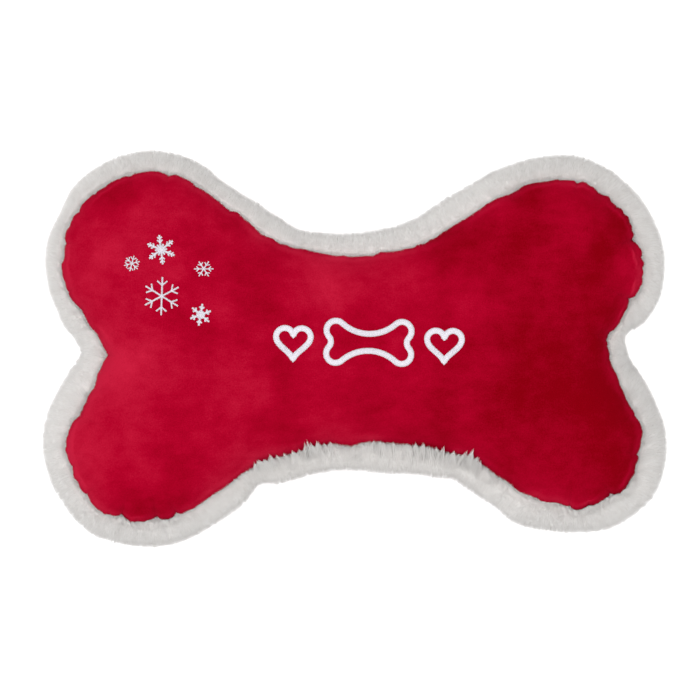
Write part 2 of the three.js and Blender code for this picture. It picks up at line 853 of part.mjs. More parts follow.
const bone_length = motif_band_length - 2 * (heart_width + motif_space);
const heart_shift = (motif_band_length - heart_width) / 2;
const bone_hole_top = 2 * thread_height;
const bone_line = boneBlock(bone_length, motif_band_height, 0, 0, thread_height).subtract(
  boneBlock(bone_length, motif_band_height, motif_stroke, -thread_height, bone_hole_top),
);
addMotif('bone_motif', bone_line, 0);
addMotif('heart_motif_left', heartMotif(heart_width), -heart_shift);
addMotif('heart_motif_right', heartMotif(heart_width), heart_shift);

// The origin goes under the middle of the toy, on the surface that it lies on
const bounds = new THREE.Box3().setFromObject(toy);
const middle = bounds.getCenter(new THREE.Vector3());
toy.position.set(-middle.x, -middle.y, -bounds.min.z);

const dog_toy = new THREE.Group();
dog_toy.add(toy);

export default dog_toy;
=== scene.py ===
import math

import bmesh
import bpy
import numpy as np
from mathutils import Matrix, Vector
from mathutils.geometry import delaunay_2d_cdt


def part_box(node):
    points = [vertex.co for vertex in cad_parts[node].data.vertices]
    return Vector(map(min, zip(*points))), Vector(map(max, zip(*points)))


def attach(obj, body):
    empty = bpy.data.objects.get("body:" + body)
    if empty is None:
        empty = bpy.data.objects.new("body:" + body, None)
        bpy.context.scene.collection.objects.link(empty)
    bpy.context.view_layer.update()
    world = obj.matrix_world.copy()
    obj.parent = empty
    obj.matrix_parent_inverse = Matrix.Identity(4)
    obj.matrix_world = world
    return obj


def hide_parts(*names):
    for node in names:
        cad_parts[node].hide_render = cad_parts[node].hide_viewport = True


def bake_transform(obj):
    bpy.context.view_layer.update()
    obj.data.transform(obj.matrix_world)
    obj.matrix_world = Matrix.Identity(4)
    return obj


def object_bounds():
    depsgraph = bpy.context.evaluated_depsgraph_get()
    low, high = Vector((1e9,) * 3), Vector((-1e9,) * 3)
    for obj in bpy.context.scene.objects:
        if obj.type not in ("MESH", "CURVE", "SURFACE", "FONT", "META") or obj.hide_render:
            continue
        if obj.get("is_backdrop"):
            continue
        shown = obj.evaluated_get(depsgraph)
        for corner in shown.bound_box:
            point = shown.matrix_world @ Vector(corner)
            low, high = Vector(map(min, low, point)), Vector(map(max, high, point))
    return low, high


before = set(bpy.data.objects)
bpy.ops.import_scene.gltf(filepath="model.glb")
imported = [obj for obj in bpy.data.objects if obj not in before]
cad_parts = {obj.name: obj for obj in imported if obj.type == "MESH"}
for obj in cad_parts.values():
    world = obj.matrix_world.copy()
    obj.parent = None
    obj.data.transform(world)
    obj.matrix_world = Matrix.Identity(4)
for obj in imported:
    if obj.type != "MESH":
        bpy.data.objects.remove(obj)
cad_low, cad_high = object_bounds()
mm = 0.001

# Camera, straight over the toy, which lies on its back with its face up.
# The picture is 700 pixels wide, and one pixel is 0.5431 mm on the toy, 40 mm over the floor.
picture_pixels, pixel_size = 700, 0.5431
picture_width = picture_pixels * pixel_size
picture_centre = (-2.9, 0.3)
picture_level = 40
lens = 250
film_width = 36

scene = bpy.context.scene
scene.view_settings.view_transform = "Standard"
camera = bpy.data.objects.new("camera", bpy.data.cameras.new("camera"))
camera.data.lens = lens
camera.data.sensor_width = film_width
camera.data.clip_end = 30
camera_height = picture_level + picture_width * lens / film_width
camera.location = (picture_centre[0] * mm, picture_centre[1] * mm, camera_height * mm)
scene.collection.objects.link(camera)
scene.camera = camera

# Soft studio light: a large lamp high over the upper left, a weaker one over the lower
# right, and an even glow from all round. The floor and what lies behind it look white.
lamps = {
    "key": ((-0.9, 0.2, 1.9), 1.6, 17.5),
    "fill": ((1.0, -0.4, 1.6), 1.6, 7.5),
}
glow_colour = (1.0, 0.985, 0.97, 1)
glow_strength = 0.68
white = (1, 1, 1, 1)
floor_colour = (0.86, 0.86, 0.86, 1)
floor_lift = 0.7
floor_size = 30
floor_level = -0.0003

for name, (place, size, power) in lamps.items():
    lamp = bpy.data.objects.new(name, bpy.data.lights.new(name, "AREA"))
    lamp.data.size = size
    lamp.data.energy = power
    lamp.location = place
    lamp.rotation_euler = (-Vector(place)).to_track_quat("-Z", "Y").to_euler()
    scene.collection.objects.link(lamp)


def add_node(tree, kind, settings=None, **inputs):
    """A shader node with its settings, and its input values or links by name or number"""
    node = tree.nodes.new(kind)
    for key, value in (settings or {}).items():
        setattr(node, key, value)
    for key, value in inputs.items():
        label = int(key[1:]) if key[1:].isdigit() else key.replace("_", " ")
        if isinstance(value, bpy.types.NodeSocket):
            tree.links.new(value, node.inputs[label])
        else:
            node.inputs[label].default_value = value
    return node


def maths(tree, operation, first, second=0.0):
    """The result of a calculation with one or two numbers"""
    node = add_node(tree, "ShaderNodeMath", {"operation": operation}, _0=first, _1=second)
    return node.outputs[0]


def new_material(name, roughness, **sockets):
    """A material, its node tree and its surface shader, with plain values set"""
    material = bpy.data.materials.new(name)
    material.use_nodes = True
    surface = material.node_tree.nodes["Principled BSDF"]
    surface.inputs["Roughness"].default_value = roughness
    for key, value in sockets.items():
        surface.inputs[key.replace("_", " ")].default_value = value
    return material, material.node_tree, surface


def seen_directly(tree):
    """1 for what the camera, a reflection or a glass shows, 0 for light on the object"""
    path = add_node(tree, "ShaderNodeLightPath").outputs
    mirrored = maths(tree, "MAXIMUM", path["Is Glossy Ray"], path["Is Transmission Ray"])
    return maths(tree, "MAXIMUM", path["Is Camera Ray"], mirrored)


world = bpy.data.worlds.new("studio")
scene.world = world
world.use_nodes = True
tree = world.node_tree
glow = tree.nodes["Background"]
glow.inputs["Color"].default_value = glow_colour
glow.inputs["Strength"].default_value = glow_strength
behind = add_node(tree, "ShaderNodeBackground", Color=white)
either = add_node(tree, "ShaderNodeMixShader", _0=seen_directly(tree), _1=glow.outputs[0],
                  _2=behind.outputs[0])
tree.links.new(either.outputs[0], tree.nodes["World Output"].inputs["Surface"])

bpy.ops.mesh.primitive_plane_add(size=floor_size, location=(0, 0, floor_level))
floor = bpy.context.object
floor.name = "floor"
paper, tree, surface = new_material("pale_paper", 0.9, Base_Color=floor_colour,
                                    Emission_Color=white)
tree.links.new(maths(tree, "MULTIPLY", seen_directly(tree), floor_lift),
               surface.inputs["Emission Strength"])
floor.data.materials.append(paper)
floor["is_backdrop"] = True

# Front panel: the bone's face, cut from short-pile velour and eased to the fur strip, so that
# its edge gathers in small tucks. The stuffing rounds it up from the seam. Its outline is four
# lobes, two waists and two notches, each one arc: x, y and radius, or radius alone.
lobes = [(-110.5, 48.3, 48.1), (106.8, 45.1, 48.2), (117.3, -48.3, 38.0), (-113.6, -52.3, 42.3)]
upper_waist, right_notch, lower_waist, left_notch = 109.0, 30.0, 146.0, 27.0
fur_reaches = [10.2, 12.7, 14.6, 13.6]
upper_waist_reach, lower_waist_reach = 8.8, 12.5
fur_right_notch, fur_left_notch = 7.0, 20.0
strip_half_height = 13.0
seam_gap = 0.15
front_crown, front_fullness = 27.0, 2.4
shoulder_reach = 44.0
velour_thickness = 1.6
seam_allowance = 6.0
lobe_steps, waist_steps, notch_steps = 210, 170, 50


def hollow_centre(first, second, radius):
    """Centre of the arc that touches two neighbouring lobes from outside"""
    dx, dy = second[0] - first[0], second[1] - first[1]
    apart = math.hypot(dx, dy)
    near, far = first[2] + radius, second[2] + radius
    along = (apart**2 + near**2 - far**2) / (2 * apart)
    out = math.sqrt(near**2 - along**2)
    x = first[0] + (dx * along - dy * out) / apart
    y = first[1] + (dy * along + dx * out) / apart
    return x, y


def arcs_of(circles, hollows):
    """Arcs of an outline, clockwise from the upper left lobe: centre, radius, start, end, side"""
    centres = [hollow_centre(circles[i], circles[(i + 1) % 4], hollows[i]) for i in range(4)]
    arcs = []
    for i, (x, y, radius) in enumerate(circles):
        before, after, following = centres[i - 1], centres[i], circles[(i + 1) % 4]
        start = math.atan2(before[1] - y, before[0] - x)
        end = math.atan2(after[1] - y, after[0] - x)
        arcs.append((x, y, radius, start, end - 2 * math.pi * (end > start), 1))
        start = math.atan2(y - after[1], x - after[0])
        end = math.atan2(following[1] - after[1], following[0] - after[0])
        arcs.append((*after, hollows[i], start, end + 2 * math.pi * (end < start), -1))
    return arcs


def ring_of(arcs, inset=0.0, steps=(lobe_steps, waist_steps, lobe_steps, notch_steps)):
    """Points along an outline, moved inward, with the outward direction at each"""
    points, outward = [], []
    for i, (x, y, radius, start, end, side) in enumerate(arcs):
        count = steps[i % 4]
        angle = start + (end - start) * np.arange(count) / count
        away = np.stack([np.cos(angle), np.sin(angle)], axis=1)
        points.append(np.array([x, y]) + (radius - side * inset) * away)
        outward.append(side * away)
    return np.vstack(points), np.vstack(outward)


seam_arcs = arcs_of(lobes, [upper_waist, right_notch, lower_waist, left_notch])
fur_lobes = [(x, y, radius + reach) for (x, y, radius), reach in zip(lobes, fur_reaches)]
fur_hollows = [
    upper_waist - upper_waist_reach,
    fur_right_notch,
    lower_waist - lower_waist_reach,
    fur_left_notch,
]
fur_edge, _ = ring_of(arcs_of(fur_lobes, fur_hollows))
seam_edge, seam_outward = ring_of(seam_arcs)
ring_count = len(seam_edge)
toy_middle = (fur_edge.min(0) + fur_edge.max(0)) / 2
strip_low, strip_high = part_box("fur_strip_upper")
middle_level = (strip_low.z + strip_high.z) / 2 / mm
seam_level = strip_half_height + seam_gap


def placed(points):
    """Points of the face, in millimetres from the strip's middle plane, in the toy's own frame"""
    return (np.asarray(points, float) + [-toy_middle[0], -toy_middle[1], middle_level]) * mm


# Place along the outline: a whole number is the start of an arc, and its share follows
steps_round = np.hypot(*(np.roll(seam_edge, -1, 0) - seam_edge).T)
seam_length = steps_round.sum()
length_at = np.concatenate([[0], np.cumsum(steps_round)[:-1]])
arc_starts = np.cumsum([0] + [lobe_steps, waist_steps, lobe_steps, notch_steps] * 2)[:8]


def index_of(place):
    """Number of the outline's point at a place"""
    arc = int(place) % 8
    count = (lobe_steps, waist_steps, lobe_steps, notch_steps)[arc % 4]
    return arc_starts[arc] + int((place - int(place)) * count)


def length_of(place):
    """Length along the outline from its start to a place"""
    return length_at[index_of(place)]


def shifts(table, along, sharp=False):
    """Sum of small swells and dents along the outline, each with a place, a size and a width"""
    total = np.zeros_like(along)
    for place, size, width in table:
        away = np.abs((along - length_of(place) + seam_length / 2) % seam_length - seam_length / 2)
        total += size * np.exp(-(away / width) ** (1 if sharp else 2))
    return total


def soft_noise(points, wavelength, seed, waves=9):
    """Even, smooth noise from a few plane waves, about -1 to 1"""
    dice = np.random.RandomState(seed)
    points = np.asarray(points, float)
    total = np.zeros(len(points))
    for _ in range(waves):
        direction = dice.normal(size=points.shape[1])
        direction /= np.linalg.norm(direction)
        length = wavelength * dice.uniform(0.7, 1.6)
        total += np.sin(points @ direction * (2 * math.pi / length) + dice.uniform(0, 2 * math.pi))
    return total / math.sqrt(waves)


far_off = 1e3


def seam_depth(points, softness=2.5):
    """How far points of the face lie from the seam, eased where two sides are equally far"""
    found = []
    for x, y, radius, start, end, side in seam_arcs:
        away = points - [x, y]
        turn = end - start
        angle = np.arctan2(away[:, 1], away[:, 0]) - start
        angle = np.mod(angle, 2 * math.pi) if turn > 0 else -np.mod(-angle, 2 * math.pi)
        depth = side * (radius - np.hypot(*away.T))
        found.append(np.where(np.abs(angle) <= abs(turn), depth, far_off))
    near = np.min(found, axis=0)
    total = np.sum(np.exp((near - np.array(found)) / softness), axis=0)
    return near - softness * np.log(total)


def dome(depth, crown, fullness, reach=shoulder_reach):
    """Height to which the stuffing rounds a panel up, at a depth from its seam"""
    share = np.clip(depth / reach, 0, 1)
    return crown * (1 - (1 - share) ** fullness) ** (1 / fullness)


# The seam's small swells and its tucks: place, size and width. Its folds: first and last place,
# depth from the edge, height and width
edge_swells = [
    (0.05, -1.4, 4), (0.21, 1.1, 6), (0.28, -0.6, 3), (0.33, 0.7, 4), (0.59, -0.8, 6),
    (0.76, 0.5, 5), (0.85, 0.8, 3), (1.10, 1.3, 10), (1.25, -1.0, 12), (1.50, -0.6, 14),
    (1.60, 0.8, 4), (1.87, 2.1, 14), (2.08, -2.5, 6), (2.20, -2.0, 14), (2.38, 0.9, 5),
    (2.58, 1.0, 6), (2.79, 1.7, 12), (2.96, -1.2, 6), (3.27, -2.4, 5), (3.80, 1.7, 7),
    (4.07, -1.5, 6), (4.21, 1.6, 4), (4.48, 1.9, 9), (4.54, 1.2, 6), (4.61, -1.1, 5),
    (4.72, 1.2, 16), (4.78, 1.1, 5), (4.85, -2.0, 6), (5.03, 2.6, 10), (5.11, 1.6, 7),
    (5.30, 2.2, 22), (5.48, 1.6, 14), (5.53, 2.2, 6), (5.66, 2.2, 20), (5.80, 0.6, 8),
    (5.90, 2.6, 14), (5.99, 1.2, 8), (6.12, -0.2, 4), (6.16, 0.8, 14), (6.20, -1.9, 6),
    (0.13, 1.0, 5), (0.26, -1.0, 6), (1.12, 1.0, 14), (1.97, 0.8, 6), (2.89, 0.9, 8),
    (5.41, 0.6, 8), (6.34, -1.2, 4), (6.43, 1.3, 7), (6.96, -1.3, 5), (6.75, 1.3, 7),
    (6.91, -2.3, 7), (7.30, 1.0, 6), (7.55, -1.6, 4), (7.92, 1.1, 4),
]
tucks = [
    (0.13, 0.8, 1.6), (0.31, 0.9, 1.6), (0.44, 0.7, 1.4), (0.53, 0.8, 1.6), (0.68, 1.0, 1.6),
    (0.82, 1.0, 1.6), (0.93, 0.7, 1.5), (1.08, 0.5, 1.4), (1.30, 0.6, 1.5), (1.71, 0.5, 1.5),
    (2.10, 1.2, 1.8), (2.35, 0.9, 1.6), (2.44, 1.1, 1.6), (2.53, 0.8, 1.5), (2.675, 2.6, 2.0),
    (2.915, 3.2, 2.0), (3.30, 1.4, 2.0), (4.13, 0.8, 1.5), (4.33, 1.3, 1.8), (4.58, 1.5, 1.8),
    (4.70, 0.9, 1.6), (4.80, 1.5, 1.8), (4.97, 0.7, 1.5), (6.09, 1.8, 1.9), (6.18, 2.2, 2.0),
    (6.34, 1.3, 1.8), (6.52, 0.7, 1.5), (6.66, 0.9, 1.5), (6.90, 1.5, 1.8), (7.53, 1.2, 1.8),
]
folds = [
    (2.68, 2.81, 4.8, 1.5, 1.5), (2.82, 2.91, 3.8, 1.5, 1.4), (2.92, 3.15, 2.6, 1.0, 1.2),
    (2.46, 2.67, 3.4, 0.8, 1.5), (2.30, 2.44, 3.2, 0.7, 1.4), (2.08, 2.30, 3.4, 0.8, 1.6),
    (0.14, 0.31, 3.6, 0.8, 1.6), (0.45, 0.67, 3.4, 0.7, 1.5), (7.60, 7.94, 4.2, 0.9, 1.8),
    (6.20, 6.33, 3.4, 0.8, 1.5), (6.53, 6.66, 3.2, 0.7, 1.4), (6.68, 6.89, 3.6, 0.9, 1.6),
    (4.34, 4.57, 3.4, 0.8, 1.5), (4.60, 4.79, 3.4, 0.8, 1.5),
]
fold_start_share, fold_drift, fold_ends = 1.25, 0.5, 1.5
# Painted highlight along the tops of the folds: how narrow it is, and how much lighter it makes the
# red
fold_highlight_width, fold_highlight_strength = 0.45, 0.45
roll_out, roll_height, roll_width = 0.5, 4.5, 3.5
edge_cover, edge_fade = 0.5, 10
seam_overlap = 0.3
gather_height, gather_length, gather_fade = 0.35, 7.0, 6
gather_patch, gather_even, gather_turn = 60, 0.6, 6.3
lump_height, lump_length, lump_fade = 0.9, 45, 12
tuck_in, tuck_dip, tuck_fade = 0.9, 0.9, 5
crease_share, crease_fade = 0.35, 14
taper_height = 6
# Where the cloth of the lower waist hangs slack: place, amount and width
slack_places = [(5.22, 0.7, 24), (5.40, 0.5, 24), (5.58, 0.5, 24), (5.76, 0.7, 24)]
slack_share, slack_depth = 0.6, 9
back_swell_share, back_swell_shift = 0.6, 90.0
edge_shift = shifts(edge_swells, length_at) - edge_cover
outer_depths = np.concatenate([
    np.array([0, 0.03, 0.12, 0.27, 0.5, 0.8, 1.15, 1.6, 2.1, 2.7, 3.4, 4.2, 5.1, 6.1]),
    np.linspace(7.2, 18, 9),
])
fill_spacing, fill_room = 1.3, 0.7
lining_depths, lining_spacing = (4.4, 10.0, 18.0), 6.0
picture_plane = 360


def triangles_inside(edge, field):
    """Triangles between a closed edge and the points of a field inside it"""
    corners = [Vector(p) for p in np.vstack([edge, field])]
    made = delaunay_2d_cdt(corners, [], [list(range(len(edge)))], 1, 1e-6)
    first = [ids[0] for ids in made[3]]
    return np.array([[first[c] for c in face] for face in made[2]])


def fill_inside(edge, spacing, depth):
    """An even field of points deeper than a closed edge, and the triangles inside the edge"""
    low, high = edge.min(0), edge.max(0)
    rows = []
    for i, y in enumerate(np.arange(low[1], high[1], spacing * math.sqrt(3) / 2)):
        xs = np.arange(low[0] + spacing / 2 * (i % 2), high[0], spacing)
        rows.append(np.column_stack([xs, np.full_like(xs, y)]))
    field = np.vstack(rows)
    field = field[seam_depth(field) > depth + spacing * fill_room]
    return field, triangles_inside(edge, field)


def lane(start, following, count):
    """Four-cornered faces between two rings of equal count"""
    i = np.arange(count)
    j = (i + 1) % count
    return np.stack([start + i, start + j, following + j, following + i], axis=1)


def make_piece(name, points, faces, uv=None, turned_out=True, lit=None):
    """A mesh object from points in metres, with smooth faces that look outward, or lit from the
    directions that are given"""
    mesh = bpy.data.meshes.new(name)
    sizes = np.concatenate([np.full(len(f), f.shape[1]) for f in faces])
    corners = np.concatenate([f.ravel() for f in faces]).astype(np.int32)
    mesh.vertices.add(len(points))
    mesh.vertices.foreach_set("co", np.asarray(points, np.float32).ravel())
    mesh.loops.add(len(corners))
    mesh.loops.foreach_set("vertex_index", corners)
    mesh.polygons.add(len(sizes))
    starts = np.concatenate([[0], np.cumsum(sizes)[:-1]]).astype(np.int32)
    mesh.polygons.foreach_set("loop_start", starts)
    mesh.polygons.foreach_set("use_smooth", np.ones(len(sizes), bool))
    mesh.update(calc_edges=True)
    if uv is not None:
        layer = mesh.uv_layers.new(name="OFBake")
        layer.data.foreach_set("uv", np.asarray(uv, np.float32)[corners].ravel())
    if turned_out:
        shape = bmesh.new()
        shape.from_mesh(mesh)
        bmesh.ops.recalc_face_normals(shape, faces=shape.faces)
        shape.to_mesh(mesh)
        shape.free()
    if lit is not None:
        mesh.normals_split_custom_set_from_vertices(lit.tolist())
    piece = bpy.data.objects.new(name, mesh)
    scene.collection.objects.link(piece)
    return piece


def dress(piece, material, node=None, body="toy"):
    """Give a piece its finish and the body it rides on, and hide the solid it replaces"""
    piece.data.materials.append(material)
    if body:
        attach(piece, body)
    if node:
        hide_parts(node)


def fold_height(depth, narrow=1.0):
    """Height of the long, low folds that run along the edge from one tuck to the next"""
    total = np.zeros(ring_count)
    for start, end, place, height, width in folds:
        span = (length_of(end) - length_of(start)) % seam_length
        share = (length_at - length_of(start)) % seam_length / span
        ends = np.sin(math.pi * np.minimum(share, 1)) ** fold_ends
        away = depth - place * (fold_start_share - fold_drift * share)
        total += height * ends * np.exp(-(away / (width * narrow)) ** 2)
    return total


def lumps(xy, depth, seed):
    """Height of the broad lumps that the stuffing makes in a panel"""
    return lump_height * soft_noise(xy, lump_length, seed + 2) * np.minimum(1, depth / lump_fade)


def panel_skin(up, crown, fullness, seed):
    """Points and faces of a face panel's outside and seam allowance, with the strength of the
    painted highlight along its folds at each point"""
    along = length_at
    pull = shifts(tucks, along, sharp=True)
    if up > 0:
        shift = edge_shift
        slack = np.clip(shifts(slack_places, along), 0, 1)
    else:
        shift = back_swell_share * shifts(edge_swells, along + back_swell_shift) - edge_cover
        slack = 0 * along
    angle = along * 2 * math.pi / seam_length
    circle = np.stack([np.cos(angle), np.sin(angle)], axis=1) * seam_length / gather_turn
    patches = soft_noise(circle, gather_patch, seed + 1)
    gathers = soft_noise(circle, gather_length, seed)
    gathers = gathers * (gather_even + (1 - gather_even) * patches)
    rings, faces, fold_highlights, total = [], [], [], 0

    def add_ring(xy, z, fold_highlight=None):
        nonlocal total
        fold_highlights.append(np.zeros(ring_count) if fold_highlight is None else fold_highlight)
        level = np.full(ring_count, z) if np.isscalar(z) else z
        rings.append(np.column_stack([xy, up * level]))
        if total:
            faces.append(lane(total - ring_count, total, ring_count))
        total += ring_count

    lining = velour_thickness
    for inset, z in ((lining, seam_level + lining), (seam_allowance, seam_level + lining),
                     (seam_allowance, seam_level), (-seam_overlap, seam_level)):
        add_ring(ring_of(seam_arcs, inset)[0], z)
    for depth in outer_depths:
        xy, outward = ring_of(seam_arcs, depth)
        ease = slack_share * math.exp(-(depth / slack_depth) ** 2)
        rise = dome(depth * (1 - ease * slack), crown, fullness)
        press = gather_height * gathers * math.exp(-depth / gather_fade)
        out = (shift - pull * tuck_in) * math.exp(-depth / edge_fade) + press
        out = out + roll_out * np.exp(-((rise - roll_height) / roll_width) ** 2)
        dip = pull * (math.exp(-depth / tuck_fade) * tuck_dip
                      + crease_share * math.exp(-depth / crease_fade))
        level = seam_level + rise + lumps(xy, depth, seed) + fold_height(depth) * (up > 0)
        level = level + (press - dip) * np.minimum(1, rise / taper_height)
        add_ring(xy + outward * out[:, None], level, fold_height(depth, fold_highlight_width) * (up > 0))
    edge = ring_of(seam_arcs, outer_depths[-1])[0]
    field, triangles = fill_inside(edge, fill_spacing, outer_depths[-1])
    depths = seam_depth(field)
    level = seam_level + dome(depths, crown, fullness) + lumps(field, depths, seed)
    joined = np.concatenate([np.arange(total - ring_count, total), total + np.arange(len(field))])
    points = np.vstack(rings + [np.column_stack([field, up * level])])
    faces.append(joined[triangles])
    return points, faces, np.concatenate(fold_highlights + [np.zeros(len(field))])


def close_lining(points, faces, up, crown, fullness):
    """The lining side of a panel, closing it from inside, on a coarse field"""
    start = len(points)
    rows = [points]
    last = 0
    for depth in lining_depths:
        level = seam_level + dome(depth, crown - velour_thickness, fullness)
        xy = ring_of(seam_arcs, velour_thickness + depth)[0]
        rows.append(np.column_stack([xy, np.full(ring_count, up * level)]))
        faces.append(lane(last, start, ring_count))
        last = start
        start += ring_count
    edge = rows[-1][:, :2]
    field, triangles = fill_inside(edge, lining_spacing, velour_thickness + lining_depths[-1])
    depths = seam_depth(field) - velour_thickness
    level = seam_level + dome(depths, crown - velour_thickness, fullness)
    rows.append(np.column_stack([field, up * level]))
    joined = np.concatenate([np.arange(last, last + ring_count), start + np.arange(len(field))])
    faces.append(joined[triangles])
    return np.vstack(rows), faces


def flat_uv(points):
    """A picture plane over the whole toy, for pieces that are seen from above or below"""
    return points[:, :2] / picture_plane + 0.5


def new_group(name, numbers, results):
    """A shader node group with named numbers in and out"""
    group = bpy.data.node_groups.new(name, "ShaderNodeTree")
    for label, value in numbers.items():
        socket = group.interface.new_socket(label, in_out="INPUT", socket_type="NodeSocketFloat")
        socket.default_value = value
    for label in results:
        group.interface.new_socket(label, in_out="OUTPUT", socket_type="NodeSocketFloat")
    return group, group.nodes.new("NodeGroupInput"), group.nodes.new("NodeGroupOutput")


# Nap of a pile fabric: broad cloudy patches, streaks where the pile lies over, and fine tufts
nap, nap_in, nap_out = new_group(
    "nap",
    {"Patch Size": 0.03, "Streak Size": 0.006, "Tuft Size": 0.0007, "Streak Stretch": 4.0},
    ["Patch", "Streak", "Tuft", "Height"],
)
place = add_node(nap, "ShaderNodeTexCoord").outputs["Object"]
patch_scale, streak_scale, tuft_scale, narrow = [
    maths(nap, "DIVIDE", 1.0, nap_in.outputs[label])
    for label in ("Patch Size", "Streak Size", "Tuft Size", "Streak Stretch")
]
squeeze = add_node(nap, "ShaderNodeCombineXYZ", X=narrow, Y=1.0, Z=1.0).outputs[0]
drawn = add_node(nap, "ShaderNodeVectorMath", {"operation": "MULTIPLY"}, _0=place, _1=squeeze)
patches = add_node(nap, "ShaderNodeTexNoise", Vector=place, Scale=patch_scale, Detail=3.0,
                   Roughness=0.55).outputs["Fac"]
streaks = add_node(nap, "ShaderNodeTexNoise", Vector=drawn.outputs[0], Scale=streak_scale,
                   Detail=4.0, Roughness=0.6).outputs["Fac"]
tufts = add_node(nap, "ShaderNodeTexNoise", Vector=place, Scale=tuft_scale,
                 Detail=2.0).outputs["Fac"]
height = maths(nap, "ADD", tufts, maths(nap, "MULTIPLY", streaks, 0.5))
for label, value in zip(("Patch", "Streak", "Tuft", "Height"), (patches, streaks, tufts, height)):
    nap.links.new(value, nap_out.inputs[label])


def napped(tree, patch, streak, stretch, tuft=0.0007):
    """The nap in a material, with its own sizes in metres"""
    return add_node(tree, "ShaderNodeGroup", {"node_tree": nap}, Patch_Size=patch,
                    Streak_Size=streak, Streak_Stretch=stretch, Tuft_Size=tuft).outputs


def stretched(tree, value, old=(0.0, 1.0), new=(0.0, 1.0), smooth=False):
    """A number moved from one range to another"""
    settings = {"interpolation_type": "SMOOTHSTEP"} if smooth else None
    return add_node(tree, "ShaderNodeMapRange", settings, Value=value, From_Min=old[0],
                    From_Max=old[1], To_Min=new[0], To_Max=new[1]).outputs[0]


def two_tone(tree, surface, share, first, second):
    """The colour of a surface, from the first to the second by a share"""
    node = add_node(tree, "ShaderNodeMix", {"data_type": "RGBA"})
    sockets = [s for s in node.inputs if s.enabled]
    for socket, value in zip(sockets, (share, first, second)):
        if isinstance(value, bpy.types.NodeSocket):
            tree.links.new(value, socket)
        else:
            socket.default_value = (*value, 1)
    result = next(s for s in node.outputs if s.enabled)
    tree.links.new(result, surface.inputs["Base Color"])


def relief(tree, surface, height, strength, distance):
    """Fine relief in the light on a surface"""
    bump = add_node(tree, "ShaderNodeBump", Strength=strength, Distance=distance, Height=height)
    tree.links.new(bump.outputs[0], surface.inputs["Normal"])


def ramp(tree, value, stops):
    """Colours at places from 0 to 1"""
    node = tree.nodes.new("ShaderNodeValToRGB")
    tree.links.new(value, node.inputs["Fac"])
    while len(node.color_ramp.elements) < len(stops):
        node.color_ramp.elements.new(0.5)
    for element, (position, colour) in zip(node.color_ramp.elements, stops):
        element.position = position
        element.color = (*colour, 1)
    return node.outputs["Color"]


velour_dark = (0.235, 0.0, 0.0045)
velour_red = (0.40, 0.001, 0.020)
velour_light = (0.54, 0.012, 0.044)
# Painted light and sheen: the red is made lighter towards the left and darker towards the right, as
# the pile takes the light from the upper left. Ends along x in metres, and the tones there
sidelight_ends, sidelight_tones = (-0.16, 0.16), (0.68, 0.07)
# Places where the nap was stroked the other way, with the pile's changed sheen painted as lighter
# or darker red: x, y, radius in millimetres and strength
nap_sheen_places = [
    (-130, -5, 40, 0.3), (-3, 38, 45, 0.3), (41, 27, 45, 0.3), (-111, -84, 36, -0.4),
    (119, -14, 45, -0.12), (127, -43, 45, -0.15), (111, -76, 32, 0.25), (150, 49, 28, 0.45),
    (112, 84, 34, 0.15), (-128, 87, 34, -0.2),
]
nap_level = 0.06
# How far each scale of the nap goes, and how much lighter and darker it makes the red
nap_tones = {"Patch": ((0.3, 0.7), 0.23), "Streak": ((0.25, 0.75), 0.10),
             "Tuft": ((0.3, 0.7), 0.11)}
# Painted sheen on the velour's flank: in a band above the seam the red is made lighter, in patches,
# where the pile at the rolled edge catches the light. The band's height above the strip in
# millimetres, and the tones up it
rim_sheen_rise = 22.0
rim_sheen_tones = [(0.0, (0.1,) * 3), (0.35, (0.22,) * 3), (0.54, (0.40,) * 3), (0.70, (0.06,) * 3),
             (0.86, (0.0,) * 3)]
velour, tree, surface = new_material(
    "red_velour", 0.9, Sheen_Weight=0.2, Sheen_Roughness=0.45, Sheen_Tint=(1.0, 0.06, 0.14, 1),
    Specular_IOR_Level=0.0,
)
cloth = napped(tree, patch=0.034, streak=0.005, stretch=1.8)
spot = add_node(tree, "ShaderNodeTexCoord").outputs["Object"]
apart = add_node(tree, "ShaderNodeSeparateXYZ", Vector=spot).outputs
# Painted light: lighter towards the left, darker towards the right
tone = stretched(tree, apart["X"], sidelight_ends, sidelight_tones)
for x, y, radius, strength in nap_sheen_places:
    away = add_node(tree, "ShaderNodeVectorMath", {"operation": "DISTANCE"}, _0=spot,
                    _1=(x * mm, y * mm, nap_level)).outputs["Value"]
    stroked_sheen = stretched(tree, away, (0.0, radius * mm), (strength, 0.0), smooth=True)
    tone = maths(tree, "ADD", tone, stroked_sheen)
above = maths(tree, "ABSOLUTE", maths(tree, "SUBTRACT", apart["Z"], middle_level * mm))
above = stretched(tree, above, (strip_half_height * mm, (strip_half_height + rim_sheen_rise) * mm))
rim = ramp(tree, above, rim_sheen_tones)
fold_highlight = add_node(tree, "ShaderNodeAttribute", {"attribute_name": "fold_highlight"}).outputs["Fac"]
for label, (span, size) in nap_tones.items():
    tone = maths(tree, "ADD", tone, stretched(tree, cloth[label], span, (-size, size)))
# Painted sheen: the lighter band up the flank, in patches
tone = maths(tree, "ADD", tone, maths(tree, "MULTIPLY", rim, cloth["Patch"]))
# Painted highlight: lighter red along the tops of the folds
tone = maths(tree, "ADD", tone, maths(tree, "MULTIPLY", fold_highlight, fold_highlight_strength))
tree.links.new(ramp(tree, tone, [(0.0, velour_dark), (0.5, velour_red), (1.0, velour_light)]),
               surface.inputs["Base Color"])
relief(tree, surface, cloth["Height"], strength=0.5, distance=0.0004)

front_seed = 3
points, faces, fold_highlights = panel_skin(1, front_crown, front_fullness, front_seed)
points, faces = close_lining(points, faces, 1, front_crown, front_fullness)
front_velour = make_piece("front_velour", placed(points), faces, flat_uv(points))
